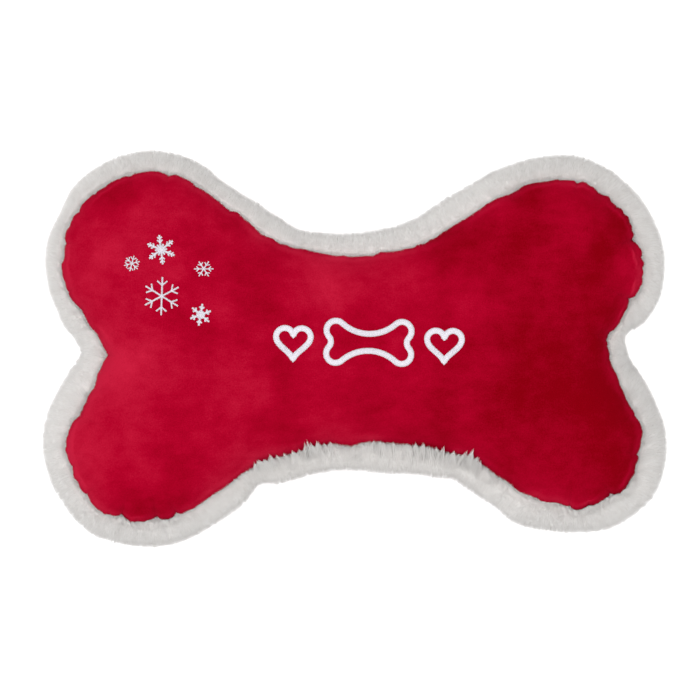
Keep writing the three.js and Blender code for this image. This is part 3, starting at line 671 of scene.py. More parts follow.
# The painted highlight along the folds, kept on the mesh for the velour's colour
fold_highlights = np.concatenate([fold_highlights, np.zeros(len(points) - len(fold_highlights))])
layer = front_velour.data.attributes.new("fold_highlight", "FLOAT", "POINT")
layer.data.foreach_set("value", fold_highlights.astype(np.float32))
dress(front_velour, velour, "front_panel")

# Backings: two pieces of thin pressed nonwoven on the wrong side of the face. They were hooped
# with the cloth, and keep the embroidery flat: a round one and a long one.
backing_room, backing_sheet, backing_margin = 0.15, 0.45, 8.0
flakes_shares, flakes_radius_share = (0.22, -0.25), 0.68
backing_spacing, backing_rim = 2.0, 0.4
disc_steps, patch_steps = 72, 30
nonwoven_white, nonwoven_shade = (0.92, 0.92, 0.90), (0.80, 0.80, 0.78)
nonwoven, tree, surface = new_material("pressed_nonwoven", 0.85, Specular_IOR_Level=0.25)
pressed = napped(tree, patch=0.008, streak=0.0012, stretch=3.0, tuft=0.0006)
two_tone(tree, surface, pressed["Streak"], nonwoven_shade, nonwoven_white)
relief(tree, surface, pressed["Height"], strength=0.4, distance=0.0002)


def lining_level(xy):
    """Height of the front panel's lining side"""
    depths = seam_depth(xy) - velour_thickness
    return seam_level + dome(depths, front_crown - velour_thickness, front_fullness)


def backing_piece(name, node, edge):
    """A thin closed sheet that follows the lining inside a flat edge line"""
    low, high = edge.min(0), edge.max(0)
    xs, ys = [np.arange(low[i] + backing_spacing / 2, high[i], backing_spacing) for i in (0, 1)]
    field = np.stack(np.meshgrid(xs, ys), axis=2).reshape(-1, 2)
    step = np.roll(edge, -1, 0) - edge
    away = field[:, None] - edge[None]
    inside = (step[None, :, 0] * away[..., 1] - step[None, :, 1] * away[..., 0]).min(1)
    field = field[inside > np.hypot(*step.T).max() * backing_spacing * backing_rim]
    flat_points = np.vstack([edge, field])
    top_faces = triangles_inside(edge, field)
    top = lining_level(flat_points) - backing_room
    points = np.vstack([np.column_stack([flat_points, top]),
                        np.column_stack([flat_points, top - backing_sheet])])
    count = len(flat_points)
    rim = lane(0, count, len(edge))
    piece = make_piece(name, placed(points), [top_faces, top_faces[:, ::-1] + count, rim])
    dress(piece, nonwoven, node)


lobe_x, lobe_y, lobe_radius = lobes[0]
flakes_radius = flakes_radius_share * lobe_radius
turn = np.arange(disc_steps) * 2 * math.pi / disc_steps
disc_edge = np.column_stack([np.cos(turn), np.sin(turn)]) * flakes_radius
disc_edge = disc_edge + [lobe_x + flakes_shares[0] * lobe_radius,
                         lobe_y + flakes_shares[1] * lobe_radius]
backing_piece("embroidery_backing_flakes_sheet", "embroidery_backing_flakes", disc_edge)

# Snowflakes: five motifs of machine embroidery on the upper left lobe. Each arm and barb is
# a row of satin stitches, thread beside thread, drawn down into the velour at both ends.
# Spots are shares of the lobe's radius with a tilt and a squeeze. Arms are a reach and a width,
# with barbs: where on the arm, length, angle and width.
flake_spots = {
    "snowflake_star_large": (0.134, 0.104, 7, 1.0),
    "snowflake_lace_small": (-0.189, -0.051, -15, 1.0),
    "snowflake_lace_wide": (0.612, -0.111, 30, 0.87),
    "snowflake_line_large": (0.143, -0.414, -2, 1.0),
    "snowflake_star_small": (0.576, -0.622, -10, 1.0),
}
flake_arms = {
    "snowflake_star_large": (7.9, 1.0, [(0.0, 0.40, 30, 0.9), (0.5, 0.25, 48, 0.75),
                                        (0.73, 0.22, 48, 0.75)]),
    "snowflake_lace_small": (4.4, 0.5, [(0.5, 0.42, 52, 0.9)]),
    "snowflake_lace_wide": (5.3, 0.55, [(0.5, 0.40, 52, 0.9)]),
    "snowflake_line_large": (10.1, 0.84, [(0.58, 0.36, 50, 0.9)]),
    "snowflake_star_small": (6.0, 1.05, [(0.0, 0.38, 30, 0.9), (0.56, 0.26, 55, 0.85)]),
}
arm_taper = 0.92
stitch_pitch, stitch_wander, stitch_edge = 0.33, 0.06, 0.9
thread_radius, thread_sides, thread_stops = 0.18, 5, 7
stitch_crown, stitch_dive, stitch_arch = 0.42, 0.35, 0.55
short_stitch, short_stitch_rise, stitch_heights = 0.22, 0.28, (0.92, 1.08)


def front_level(xy):
    """Height of the front panel's surface in its middle parts"""
    depths = seam_depth(xy)
    return seam_level + dome(depths, front_crown, front_fullness) + lumps(xy, depths, front_seed)


def stitches(node, starts, ends, seed, crown):
    """One stitch of thread between each pair of points, arched over the cloth"""
    dice = np.random.RandomState(seed)
    count = len(starts)
    share = np.linspace(0, 1, thread_stops)
    away = ends - starts
    length = np.hypot(*away.T)
    xy = starts[:, None] + away[:, None] * (0.5 - 0.5 * np.cos(math.pi * share))[None, :, None]
    arch = np.sin(math.pi * share) ** stitch_arch
    level = front_level(xy.reshape(-1, 2)).reshape(count, -1)
    height = np.minimum(crown, short_stitch + short_stitch_rise * length)
    height = height * dice.uniform(*stitch_heights, count)
    level = level - stitch_dive + arch[None, :] * (height + stitch_dive)[:, None]
    path = np.concatenate([xy, level[..., None]], axis=2)
    ahead = np.gradient(path, axis=1)
    ahead /= np.linalg.norm(ahead, axis=2)[..., None]
    flat = np.column_stack([-away[:, 1], away[:, 0], np.zeros(count)]) / length[:, None]
    flat = np.repeat(flat[:, None], thread_stops, axis=1)
    rise = np.cross(ahead, flat)
    rings = []
    for k in range(thread_sides):
        angle = 2 * math.pi * k / thread_sides
        rings.append(path + (flat * math.cos(angle) + rise * math.sin(angle)) * thread_radius)
    points = np.stack(rings, axis=2).reshape(-1, 3)
    each = thread_stops * thread_sides
    first = np.arange(count)[:, None] * each
    sides, caps = [], []
    for i in range(thread_stops - 1):
        for k in range(thread_sides):
            n = (k + 1) % thread_sides
            a, b = i * thread_sides, (i + 1) * thread_sides
            sides.append(first + [[a + k, a + n, b + n, b + k]])
    caps.append(first + [list(range(thread_sides))[::-1]])
    caps.append(first + [[each - thread_sides + k for k in range(thread_sides)]])
    shade = np.repeat(dice.rand(count), each)
    run = np.tile(np.repeat(share, thread_sides), count)
    piece = make_piece(f"{node}_stitches", placed(points), [np.vstack(sides), np.vstack(caps)],
                       np.column_stack([shade, run]), turned_out=False)
    dress(piece, thread, node)


def satin_row(spine, widths, across, dice):
    """Ends of the stitches that cross a line at right angles, close together on its outer side"""
    half = np.asarray(widths)[:, None] / 2
    sides = [np.hypot(*np.diff(spine + across * half * k, axis=0).T)
             for k in (-stitch_edge, 0, stitch_edge)]
    length = np.concatenate([[0], np.cumsum(np.max(sides, axis=0))])
    at = np.arange(stitch_pitch / 2, length[-1], stitch_pitch)
    middle = np.column_stack([np.interp(at, length, spine[:, i]) for i in (0, 1)])
    side = np.column_stack([np.interp(at, length, across[:, i]) for i in (0, 1)])
    half = np.interp(at, length, widths)[:, None] / 2
    wander = dice.uniform(-stitch_wander, stitch_wander, (2, len(at), 1))
    return middle - side * (half + wander[0]), middle + side * (half + wander[1])


def flake_stitches(reach, width, barbs, dice):
    """Ends of all stitches of a six-armed snowflake round the origin"""
    bars = []
    for arm in range(6):
        angle = math.pi * (0.5 + arm / 3)
        bars.append((0.0, 0.0, angle, reach, width))
        for at, length, lean, share in barbs:
            for side in (-1, 1):
                if at or side > 0:
                    x, y = math.cos(angle) * reach * at, math.sin(angle) * reach * at
                    bars.append((x, y, angle + side * math.radians(lean), reach * length,
                                 width * share))
    starts, ends = [], []
    for x, y, angle, length, width in bars:
        way = np.array([math.cos(angle), math.sin(angle)])
        spine = np.array([[x, y], [x, y] + way * length])
        across = np.array([[-way[1], way[0]]] * 2)
        low, high = satin_row(spine, [width, width * arm_taper], across, dice)
        starts.append(low)
        ends.append(high)
    return np.vstack(starts), np.vstack(ends)


def spin_by(degrees):
    """What points are multiplied by to turn them about the origin"""
    turn = math.radians(degrees)
    return np.array([[math.cos(turn), math.sin(turn)], [-math.sin(turn), math.cos(turn)]])


thread_pale = (0.84, 0.82, 0.89)
thread_shade = (0.70, 0.68, 0.77)
thread_twist = 75.0
thread, tree, surface = new_material(
    "embroidery_thread", 0.42, Sheen_Weight=0.1, Sheen_Roughness=0.4, Specular_IOR_Level=0.45,
)
strand = add_node(tree, "ShaderNodeUVMap", {"uv_map": "OFBake"}).outputs["UV"]
strand = add_node(tree, "ShaderNodeSeparateXYZ", Vector=strand).outputs
# Painted shade: each stitch is darker at both ends, where it dives into the velour. A random share
# of the stitches is darker in tone as well
along = ramp(tree, strand["Y"], [(0.0, thread_shade), (0.14, thread_pale),
                                 (0.86, thread_pale), (1.0, thread_shade)])
shade = stretched(tree, strand["X"], new=(0.0, 0.35))
two_tone(tree, surface, shade, along, thread_shade)
twist = maths(tree, "SINE", maths(tree, "MULTIPLY", strand["Y"], thread_twist))
relief(tree, surface, twist, strength=0.35, distance=0.00006)

for number, (name, (x_share, y_share, tilt, squeeze)) in enumerate(flake_spots.items()):
    reach, width, barbs = flake_arms[name]
    starts, ends = flake_stitches(reach, width, barbs, np.random.RandomState(200 + number))
    spot = np.array([lobe_x + x_share * lobe_radius, lobe_y + y_share * lobe_radius])
    starts, ends = [(p @ spin_by(tilt)) * [1, squeeze] + spot for p in (starts, ends)]
    stitches(name, starts, ends, 300 + number, stitch_crown)

# Middle motif: a small bone between two hearts. Each is one closed line of satin stitches,
# 3.4 mm wide, turned with the line so that the threads always lie across it.
band_length, band_height, band_stroke, band_space = 103.0, 26.0, 3.4, 5.0
band_centre, band_tilt = (7.4, 3.6), -1
stroke_ease = 0.2
heart_width = 22.0
heart_steps = 180
bone_lobe_share, bone_shaft_share, bone_notch_share = 0.26, 0.24, 0.09
bone_steps = (40, 40, 40, 16)
heart_waves = (13 / 16, -5 / 16, -2 / 16, -1 / 16)
wide_stitch_crown = 0.8


def closed_line(points):
    """A closed line with the direction across it at each point"""
    points = np.vstack([points, points[:1]])
    ahead = np.gradient(points, axis=0)
    ahead[0] = ahead[-1] = points[1] - points[-2]
    ahead /= np.hypot(*ahead.T)[:, None]
    return points, np.column_stack([-ahead[:, 1], ahead[:, 0]])


bone_length = band_length - 2 * (heart_width + band_space)
radius = bone_lobe_share * band_height
x, y = bone_length / 2 - radius, band_height / 2 - radius
step = bone_shaft_share * band_height - y
waist = (x * x + step * step - radius * radius) / (2 * (radius - step))
notch = bone_notch_share * band_height
bone_lobes = [(-x, y, radius), (x, y, radius), (x, -y, radius), (-x, -y, radius)]
bone_line, _ = ring_of(arcs_of(bone_lobes, [waist, notch, waist, notch]), band_stroke / 2,
                       bone_steps)
turn = np.linspace(0, 2 * math.pi, heart_steps + 1)[:-1]
rise = sum(share * np.cos((k + 1) * turn) for k, share in enumerate(heart_waves))
heart_size = heart_width - band_stroke
heart_line = np.column_stack([np.sin(turn) ** 3 * heart_size / 2, rise * heart_size / 2])
heart_shift = (band_length - heart_width) / 2
band = {
    "bone_motif": (bone_line, 0.0),
    "heart_motif_left": (heart_line, -heart_shift),
    "heart_motif_right": (heart_line, heart_shift),
}
spin = spin_by(band_tilt)
for number, (name, (line, shift)) in enumerate(band.items()):
    spine, across = closed_line(line)
    widths = np.full(len(spine), band_stroke - stroke_ease)
    starts, ends = satin_row(spine, widths, across, np.random.RandomState(400 + number))
    starts, ends = [((p + [shift, 0]) @ spin) + band_centre for p in (starts, ends)]
    stitches(name, starts, ends, 410 + number, wide_stitch_crown)

patch_half = np.array([band_length, band_height]) / 2 + backing_margin
around = np.linspace(-1, 1, patch_steps + 1)[:-1]
side = np.ones(patch_steps)
patch_edge = np.vstack([
    np.column_stack([around, -side]), np.column_stack([side, around]),
    np.column_stack([-around, side]), np.column_stack([-side, -around]),
]) * patch_half
backing_piece("embroidery_backing_centre_sheet", "embroidery_backing_centre",
              patch_edge @ spin + band_centre)

# Back panel: the same velour without embroidery. The toy's weight presses it flat
# in the middle, where it lies on the floor.
back_crown, back_fullness = 21.5, 3.0
back_seed = 11
points, faces, _ = panel_skin(-1, back_crown, back_fullness, back_seed)
points, faces = close_lining(points, faces, -1, back_crown, back_fullness)
points[:, 2] = np.maximum(points[:, 2], -middle_level)
back_velour = make_piece("back_velour", placed(points), faces, flat_uv(points))
dress(back_velour, velour, "back_panel")

# Fur strip: two lengths of short faux fur sewn between the panels and joined in the two end
# notches. Its pile stands out from the knitted backing and hides both seams. Swells, rises and
# open crevices are a place, a size and a width. Tuft reaches are a place and a length.
fur_swells = [
    (0.02, 1.4, 5), (0.20, -0.6, 20), (0.37, -2.0, 9), (0.74, 1.2, 22), (0.98, -1.3, 5),
    (1.14, 1.4, 10), (1.32, -2.9, 10), (1.47, -1.2, 14), (1.88, 3.6, 20), (2.16, -1.7, 16),
    (2.33, 0.7, 10), (2.92, -1.5, 6), (2.99, -5.0, 6), (3.15, -3.0, 5), (4.06, -1.2, 6),
    (4.15, -2.8, 8), (4.50, 1.9, 13), (4.80, -1.4, 14), (5.02, 2.7, 10), (5.11, 1.4, 7),
    (5.22, -2.2, 6), (5.43, 2.6, 18), (5.81, -4.0, 7), (5.92, 1.6, 8), (6.27, -0.8, 16),
    (6.58, -0.8, 14), (6.83, 0.6, 10), (7.15, 1.8, 5), (7.55, -1.5, 5), (0.42, -1.1, 6),
    (1.40, -0.8, 8), (2.70, 0.9, 8), (2.81, 0.6, 8), (3.02, -1.2, 5), (3.40, -0.7, 12),
    (4.25, -1.0, 8), (4.48, 0.7, 6), (4.66, 1.2, 8), (4.96, 0.8, 8), (5.84, -1.1, 6),
    (5.98, 1.1, 7), (6.42, 0.9, 8), (6.99, 1.0, 5), (7.90, 0.8, 6),
]
fur_bulk = 0.3
pile_rise = 2.3
fur_on_flank = 0.9
strip_top, strip_lip = 17.2, 13.0
crest_place, crest_base, crest_room = 1.6, 1.8, 2.6
crest_rises = [(5.22, 2.4, 24), (5.40, 1.8, 24), (5.58, 1.8, 24), (5.76, 2.4, 24)]
crevice_places = [(0.1, 0.15, 30), (7.75, 0.2, 30), (6.9, 0.2, 24)]
tuft_reaches = [
    (4.46, 0.4), (4.52, 1.6), (4.62, 0.8), (4.74, 1.6), (4.80, 0.5), (4.88, 0.6), (4.97, 0.2),
    (5.06, 0.3), (5.12, 0.5), (5.16, 1.0), (5.19, 5.4), (5.21, 6.2), (5.24, 3.4), (5.26, 2.6),
    (5.29, 2.8), (5.32, 2.8), (5.36, 1.4), (5.40, 0.6), (5.45, 1.2), (5.48, 2.2), (5.51, 0.4),
    (5.57, 0.2), (5.60, 1.8), (5.62, 4.8), (5.65, 5.8), (5.675, 1.8), (5.71, 0.9), (5.75, 2.0),
    (5.78, 4.2), (5.82, 1.4), (5.88, 0.6), (5.97, 0.3), (6.06, 0.5), (6.13, 1.4), (6.20, 0.5),
    (6.30, 1.1), (6.42, 0.4),
]
tuft_share, tuck_share = 0.5, 0.8
wall_gap = -0.1
inner_reach, tight_reach, foot_inner = 1.0, 6, 0.4
outer_round, foot_round, inner_round, slack_round = 0.8, 0.45, 0.2, 0.25
ripple_length, ripple_height, ripple_draw = 2.6, 0.16, 0.25
clump_length, clump_height = 9.0, 0.20
section_angles = np.radians(np.linspace(176, -176, 41))
wall_levels = np.linspace(-11, 11, 5)
strip_ends = {"upper": (7.5, 3.5), "lower": (3.5, 7.5)}
fur_direction = fur_edge - seam_edge
fur_reach = np.hypot(*fur_direction.T)
fur_direction /= fur_reach[:, None]
fur_reach = fur_reach + fur_bulk + shifts(fur_swells, length_at)
fur_crest = crest_base + shifts(crest_rises, length_at)
edge_slack = np.clip(shifts(slack_places, length_at), 0, 1)
reach_at = np.array([length_of(place) for place, _ in tuft_reaches])
reach_sizes = np.array([size for _, size in tuft_reaches])
combed = np.interp(length_at, reach_at, reach_sizes, left=0, right=0)
fur_wall = edge_shift + wall_gap - tuck_share * shifts(tucks, length_at, sharp=True)
crest_out = np.maximum(crest_place, fur_wall + crest_room) - tuft_share * combed
open_crevice = np.clip(shifts(crevice_places, length_at), 0, 1)


def flank_depth(level, slack):
    """How far in from the seam the front panel's flank stands at a height"""
    rise = np.clip((level - seam_level) / front_crown, 0, 1)
    share = 1 - (1 - rise**front_fullness) ** (1 / front_fullness)
    return share * shoulder_reach / (1 - slack_share * slack)


def fur_section(reach, crest_rise, crest, wall, slack, angle):
    """Distance from the seam and height on the fur's rounded section, without the loose pile"""
    outer = np.cos(angle) > 0
    turn = np.abs(np.cos(angle))
    lift = np.abs(np.sin(angle))
    on_flank = seam_level + fur_on_flank + dome(
        np.clip(-crest, 0, None) * (1 - slack_share * slack), front_crown, front_fullness)
    top = np.where(angle > 0, np.maximum(strip_top + crest_rise, on_flank), strip_top)
    side = reach - pile_rise
    roundness = np.where(angle > 0, inner_round + slack_round * slack, foot_round)
    inner_z = strip_lip + (top - strip_lip) * lift**roundness
    z = np.where(outer, top * lift**outer_round, inner_z)
    hugging = np.maximum(wall - flank_depth(z, slack),
                         crest - inner_reach - tight_reach * (1 - slack))
    inner = np.where(angle > 0, hugging, foot_inner)
    x = np.where(outer, crest + (side - crest) * turn, crest - (crest - inner) * turn)
    return x, z * np.sign(angle)


def fur_grid(rows):
    """Points of the fur's backing and pile body, one row of the section for each outline point"""
    x, z = fur_section(fur_reach[rows][:, None], fur_crest[rows][:, None],
                       crest_out[rows][:, None], fur_wall[rows][:, None],
                       edge_slack[rows][:, None], section_angles[None, :])
    along = (length_at[rows][:, None] + 0 * x).ravel()
    across = (x + np.abs(z)).ravel()
    ripple = soft_noise(np.column_stack([along, ripple_draw * across]), ripple_length, 21)
    clump = soft_noise(np.column_stack([along, across]), clump_length, 22)
    out = (ripple_height * ripple + clump_height * clump).reshape(x.shape)
    x = x + out * np.cos(section_angles)
    z = z + out * np.sin(section_angles)
    xy = seam_edge[rows][:, None, :] + fur_direction[rows][:, None, :] * x[..., None]
    return np.concatenate([xy, z[..., None]], axis=2)


fur_root = (0.80, 0.775, 0.755)
fur_body = (0.945, 0.935, 0.92)
fur_tip = (0.97, 0.963, 0.953)
fur_fleece = (0.86, 0.845, 0.83)
pile_material, tree, surface = new_material(
    "white_fur_pile", 0.9, Sheen_Weight=0.45, Sheen_Roughness=0.6, Specular_IOR_Level=0.2,
)
strand = add_node(tree, "ShaderNodeUVMap", {"uv_map": "OFBake"}).outputs["UV"]
strand = add_node(tree, "ShaderNodeSeparateXYZ", Vector=strand).outputs
length_colour = ramp(tree, strand["Y"], [(0.0, fur_root), (0.45, fur_body), (1.0, fur_tip)])
# The strand's share of the root colour: random tone, and painted shade along the lower waist
shade = stretched(tree, strand["X"], new=(0.0, 0.9))
two_tone(tree, surface, shade, length_colour, fur_root)

body_material, tree, surface = new_material(
    "white_fur_body", 0.95, Sheen_Weight=0.1, Specular_IOR_Level=0.15,
)
fleece = napped(tree, patch=0.012, streak=0.002, stretch=1.0, tuft=0.0008)
two_tone(tree, surface, fleece["Streak"], fur_root, fur_fleece)
relief(tree, surface, fleece["Height"], strength=0.6, distance=0.0006)

# Strands: their size, and how they lie on the side, over the top and next to the velour
strand_length, strand_lengths = 4.2, (0.82, 1.06)
strand_radius, strand_radii = 0.125, (0.7, 1.2)
strand_sides, strand_taper, strand_roundness = 3, 0.75, 0.45
strands_in_piece = 42000
pieces_in_strip = 3
root_depth, tip_sag, sag_from = 1.0, 0.25, -0.4
side_gain, side_base, combed_draw, combed_most = 1.6, 0.75, 0.1, 2.5
side_out, side_normal, top_up = 0.88, 0.34, 0.93
inward_lean, inward_more, slack_upright = 0.42, 0.5, 0.75
crevice_lean, combed_lean = 0.22, 0.08
sway_length, sway_draw, sway_size, stray_size = 5.0, 0.8, 0.13, 0.10
sway_seeds = (31, 32, 33)
streak_draw, pile_streaks = 0.2, [(0.14, 1.7, 34), (0.10, 7, 35)]
# Strands' tone: a base, a random spread, and painted shade that darkens the pile along the lower
# waist, where the fur faces away from the lamp
shade_base, shade_spread, waist_painted_shade = 0.22, 0.12, 0.5
fall_base, fall_slack, lie_sway = 0.4, 0.4, 0.12
lie_share, lie_up, lie_top = 0.6, 0.14, 0.26


def strands(paths, radius, shade, lie):
    """Points, faces, picture-plane places and lit directions of fine tapering strands. Each is
    given as a path, and light meets it as it meets the pile that it lies in."""
    count, stops = paths.shape[:2]
    axis = paths[:, -1] - paths[:, 0]
    axis /= np.linalg.norm(axis, axis=1)[:, None]
    helper = np.where(np.abs(axis[:, 2:]) < 0.8, [[0, 0, 1.0]], [[1.0, 0, 0]])
    side = np.cross(axis, helper)
    side /= np.linalg.norm(side, axis=1)[:, None]
    other = np.cross(axis, side)
    angles = np.arange(strand_sides) * 2 * math.pi / strand_sides
    round_it = [side * math.cos(a) + other * math.sin(a) for a in angles]
    rows, run, lit = [], [], []
    for k in range(stops - 1):
        width = radius[:, None] * (1 - strand_taper * k / (stops - 1))
        rows += [paths[:, k] + away * width for away in round_it]
        lit += [lie + strand_roundness * away for away in round_it]
        run += [k / (stops - 1)] * strand_sides
    rows.append(paths[:, -1])
    lit.append(lie)
    run.append(1.0)
    points = np.stack(rows, axis=1)
    lit = np.stack(lit, axis=1).reshape(-1, 3)
    lit /= np.linalg.norm(lit, axis=1)[:, None]
    first = np.arange(count)[:, None] * len(rows)
    last = (stops - 2) * strand_sides
    turn = [(k, (k + 1) % strand_sides) for k in range(strand_sides)]
    sides = [first + [[k + i, n + i, n + i + strand_sides, k + i + strand_sides]]
             for i in range(0, last, strand_sides) for k, n in turn]
    caps = [first + [[k + last, n + last, last + strand_sides]] for k, n in turn]
    caps.append(first + [[2, 1, 0]])
    uv = np.stack([np.repeat(shade[:, None], len(rows), 1), np.tile(run, (count, 1))], axis=2)
    faces = [np.vstack(sides)] if sides else []
    return points.reshape(-1, 3), faces + [np.vstack(caps)], uv.reshape(-1, 2), lit


def pile(rows, grid, count, seed):
    """Strands rooted over a stretch of the fur's body: they lie outward over its top and foot,
    and stand straight out of its side"""
    dice = np.random.RandomState(seed)
    u = dice.rand(count) * (len(rows) - 1.001)
    v = dice.rand(count) * (grid.shape[1] - 1.001)
    i, j = u.astype(int), v.astype(int)
    a, b = (u - i)[:, None], (v - j)[:, None]
    at = (grid[i, j] * (1 - a) * (1 - b) + grid[i + 1, j] * a * (1 - b)
          + grid[i, j + 1] * (1 - a) * b + grid[i + 1, j + 1] * a * b)
    angle = np.interp(v, np.arange(grid.shape[1]), section_angles)
    slack, crevice = edge_slack[rows[i]], open_crevice[rows[i]]
    out = np.column_stack([fur_direction[rows[i]], np.zeros(count)])
    up = np.array([[0, 0, 1.0]])
    normal = out * np.cos(angle)[:, None] + up * np.sin(angle)[:, None]
    on_top = np.sin(angle) > 0
    over = np.where(on_top, combed[rows[i]], 0)
    outer = np.cos(angle) * side_gain + side_base - combed_draw * np.minimum(over, combed_most)
    outer = np.clip(outer, 0, 1)[:, None]
    upright = np.sign(np.sin(angle))[:, None] * up
    inward = inward_lean + inward_more * np.clip(-np.cos(angle), 0, 1)
    inward = inward * (1 - slack_upright * slack * on_top)
    lean = crevice_lean * crevice - inward * (1 - crevice) - combed_lean * over
    direction = (outer * (side_out * out + side_normal * normal)
                 + (1 - outer) * (top_up * upright + lean[:, None] * out))
    flat = np.column_stack([length_at[rows[i]], at[:, 2] * sway_draw])
    sway = np.column_stack([soft_noise(flat, sway_length, each) for each in sway_seeds])
    direction = direction + sway_size * sway + stray_size * dice.normal(size=(count, 3))
    direction /= np.linalg.norm(direction, axis=1)[:, None]
    length = strand_length * dice.uniform(*strand_lengths, count)[:, None]
    root = at - direction * root_depth
    sag = up * tip_sag * (np.sin(angle) > sag_from)[:, None]
    tip = at + direction * (length - root_depth) - sag
    drawn = flat * [1, streak_draw]
    streak = sum(size * soft_noise(drawn, span, each) for size, span, each in pile_streaks)
    # Along the lower waist the pile is darkened as painted shade
    shade = shade_base + streak + shade_spread * dice.uniform(-1, 1, count) + waist_painted_shade * slack
    radius = strand_radius * dice.uniform(*strand_radii, count)
    fall = (fall_base + fall_slack * slack)[:, None]
    lie = outer * normal + (1 - outer) * (upright + fall * out) + lie_sway * sway
    lie = lie_share * lie + (lie_up + lie_top * np.sin(angle))[:, None] * up
    return strands(np.stack([root, tip], axis=1), radius, np.clip(shade, 0, 1), lie)


for name, (start, end) in strip_ends.items():
    first, last = index_of(start), index_of(end)
    rows = np.arange(first, last + (ring_count if last < first else 0) + 1) % ring_count
    grid = fur_grid(rows)
    wall = np.stack([np.column_stack([seam_edge[rows], np.full(len(rows), z)])
                     for z in wall_levels], axis=1)
    tube = np.concatenate([grid, wall], axis=1)
    around = tube.shape[1]
    across = np.arange(around)
    row_starts = np.arange(len(rows) - 1)[:, None] * around
    cell, beside = row_starts + across, row_starts + (across + 1) % around
    sides = np.stack([cell, cell + around, beside + around, beside], axis=2).reshape(-1, 4)
    ends = [across[None, ::-1], (len(rows) - 1) * around + across[None, :]]
    share = across / (around - 1)
    uv = np.stack(np.meshgrid(np.linspace(0, 1, len(rows)), share, indexing="ij"), 2).reshape(-1, 2)
    body = make_piece(f"fur_body_{name}", placed(tube.reshape(-1, 3)), [sides, *ends], uv)
    dress(body, body_material, f"fur_strip_{name}")
    for k in range(pieces_in_strip):
        low = int(k * (len(rows) - 1) / pieces_in_strip)
        high = int((k + 1) * (len(rows) - 1) / pieces_in_strip)
        part = slice(low, high + 1)
        count = strands_in_piece
        pile_points, pile_faces, uv, lit = pile(rows[part], grid[part], count, 40 + first + k)
        tuft = make_piece(f"fur_pile_{name}_{k + 1}", placed(pile_points), pile_faces, uv,
                          turned_out=False, lit=lit)
        dress(tuft, pile_material)

# Along the lower waist the pile was combed up over the seam: it lies on the velour's flank
# in soft pointed tufts. On the lower lobes only a few short ones do.
tuft_spacing, tuft_spread, tuft_jitter = 2.1, 1.7, 0.9
strands_in_tuft = 80
tuft_stops = 4
tuft_sizes, loose_sizes = (0.75, 1.2), (-0.3, 2.5)
tuft_gather, tip_wander = (0.2, 0.5), 1.6
tip_point, tip_depths, least_depth = 0.15, (0.5, 1.05), 0.05
tip_lifts, bend_lifts = (0.5, 1.8), (0.6, 1.8)
foot_rise, foot_least, foot_most, foot_slack = 0.5, -0.6, 2.4, 5.0
foot_room, foot_roundness = 0.8, 0.4
bend_share = 0.55
tuft_shade, tuft_shade_spread = 0.3, 0.2
tuft_lie_out, tuft_lie_stray = 0.3, 0.12


def front_flank(along, depth):
    """Point of the front panel at a length along the outline and a depth from its edge, with
    the number of the outline's point there"""
    row = np.interp(along, length_at, np.arange(ring_count))
    i = row.astype(int) % ring_count
    share = (row - row.astype(int))[:, None]
    edge = seam_edge[i] * (1 - share) + seam_edge[(i + 1) % ring_count] * share
    ease = slack_share * np.exp(-(depth / slack_depth) ** 2) * edge_slack[i]
    level = seam_level + dome(depth * (1 - ease), front_crown, front_fullness)
    inset = depth - edge_shift[i] * np.exp(-depth / edge_fade)
    return np.column_stack([edge - seam_outward[i] * inset[:, None], level]), i


dice = np.random.RandomState(77)
middles = np.arange(reach_at[0], reach_at[-1], tuft_spacing)
middles = middles + dice.uniform(-tuft_jitter, tuft_jitter, len(middles))
loose = np.interp(middles, length_at, edge_slack)
sizes = np.interp(middles, reach_at, reach_sizes) * dice.uniform(*tuft_sizes, len(middles))
sizes = sizes + loose * dice.uniform(*loose_sizes, len(middles))
gathered = dice.uniform(*tuft_gather, len(middles))
which = np.repeat(np.arange(len(middles)), strands_in_tuft)
count = len(which)
spread = dice.normal(size=count) * tuft_spread
start_along = middles[which] + spread
wander = dice.uniform(-tip_wander, tip_wander, len(middles))[which]
end_along = middles[which] + wander + spread * gathered[which]
end_depth = sizes[which] * (1 - tip_point * np.abs(spread)) * dice.uniform(*tip_depths, count)
tip, _ = front_flank(end_along, np.maximum(least_depth, end_depth))
tip[:, 2] += dice.uniform(*tip_lifts, count)
foot, row = front_flank(start_along, np.zeros(count))
top = strip_top + fur_crest[row]
room = fur_reach[row] - pile_rise - crest_out[row]
foot_out = dice.uniform(foot_least, foot_most + foot_slack * edge_slack[row])
foot_out = np.minimum(foot_out, foot_room * room)
foot[:, :2] = seam_edge[row] + seam_outward[row] * (crest_out[row] + foot_out)[:, None]
foot[:, 2] = top * (1 - (foot_out / room) ** 2) ** foot_roundness + foot_rise
over = foot * (1 - bend_share) + tip * bend_share
over[:, 2] = np.maximum(foot[:, 2], tip[:, 2]) + dice.uniform(*bend_lifts, count)
shares = np.linspace(0, 1, tuft_stops)[None, :, None]
paths = (foot[:, None] * (1 - shares) ** 2 + over[:, None] * 2 * shares * (1 - shares)
         + tip[:, None] * shares**2)
shade = tuft_shade + tuft_shade_spread * dice.uniform(-1, 1, count)
lie = np.column_stack([tuft_lie_out * seam_outward[row], np.ones(count)])
lie = lie + tuft_lie_stray * dice.normal(size=(count, 3))
radius = strand_radius * dice.uniform(*strand_radii, count)
points, faces, uv, lit = strands(paths, radius, shade, lie)
combed_up = make_piece("fur_combed_over_edge", placed(points), faces, uv, turned_out=False,
                       lit=lit)
dress(combed_up, pile_material)

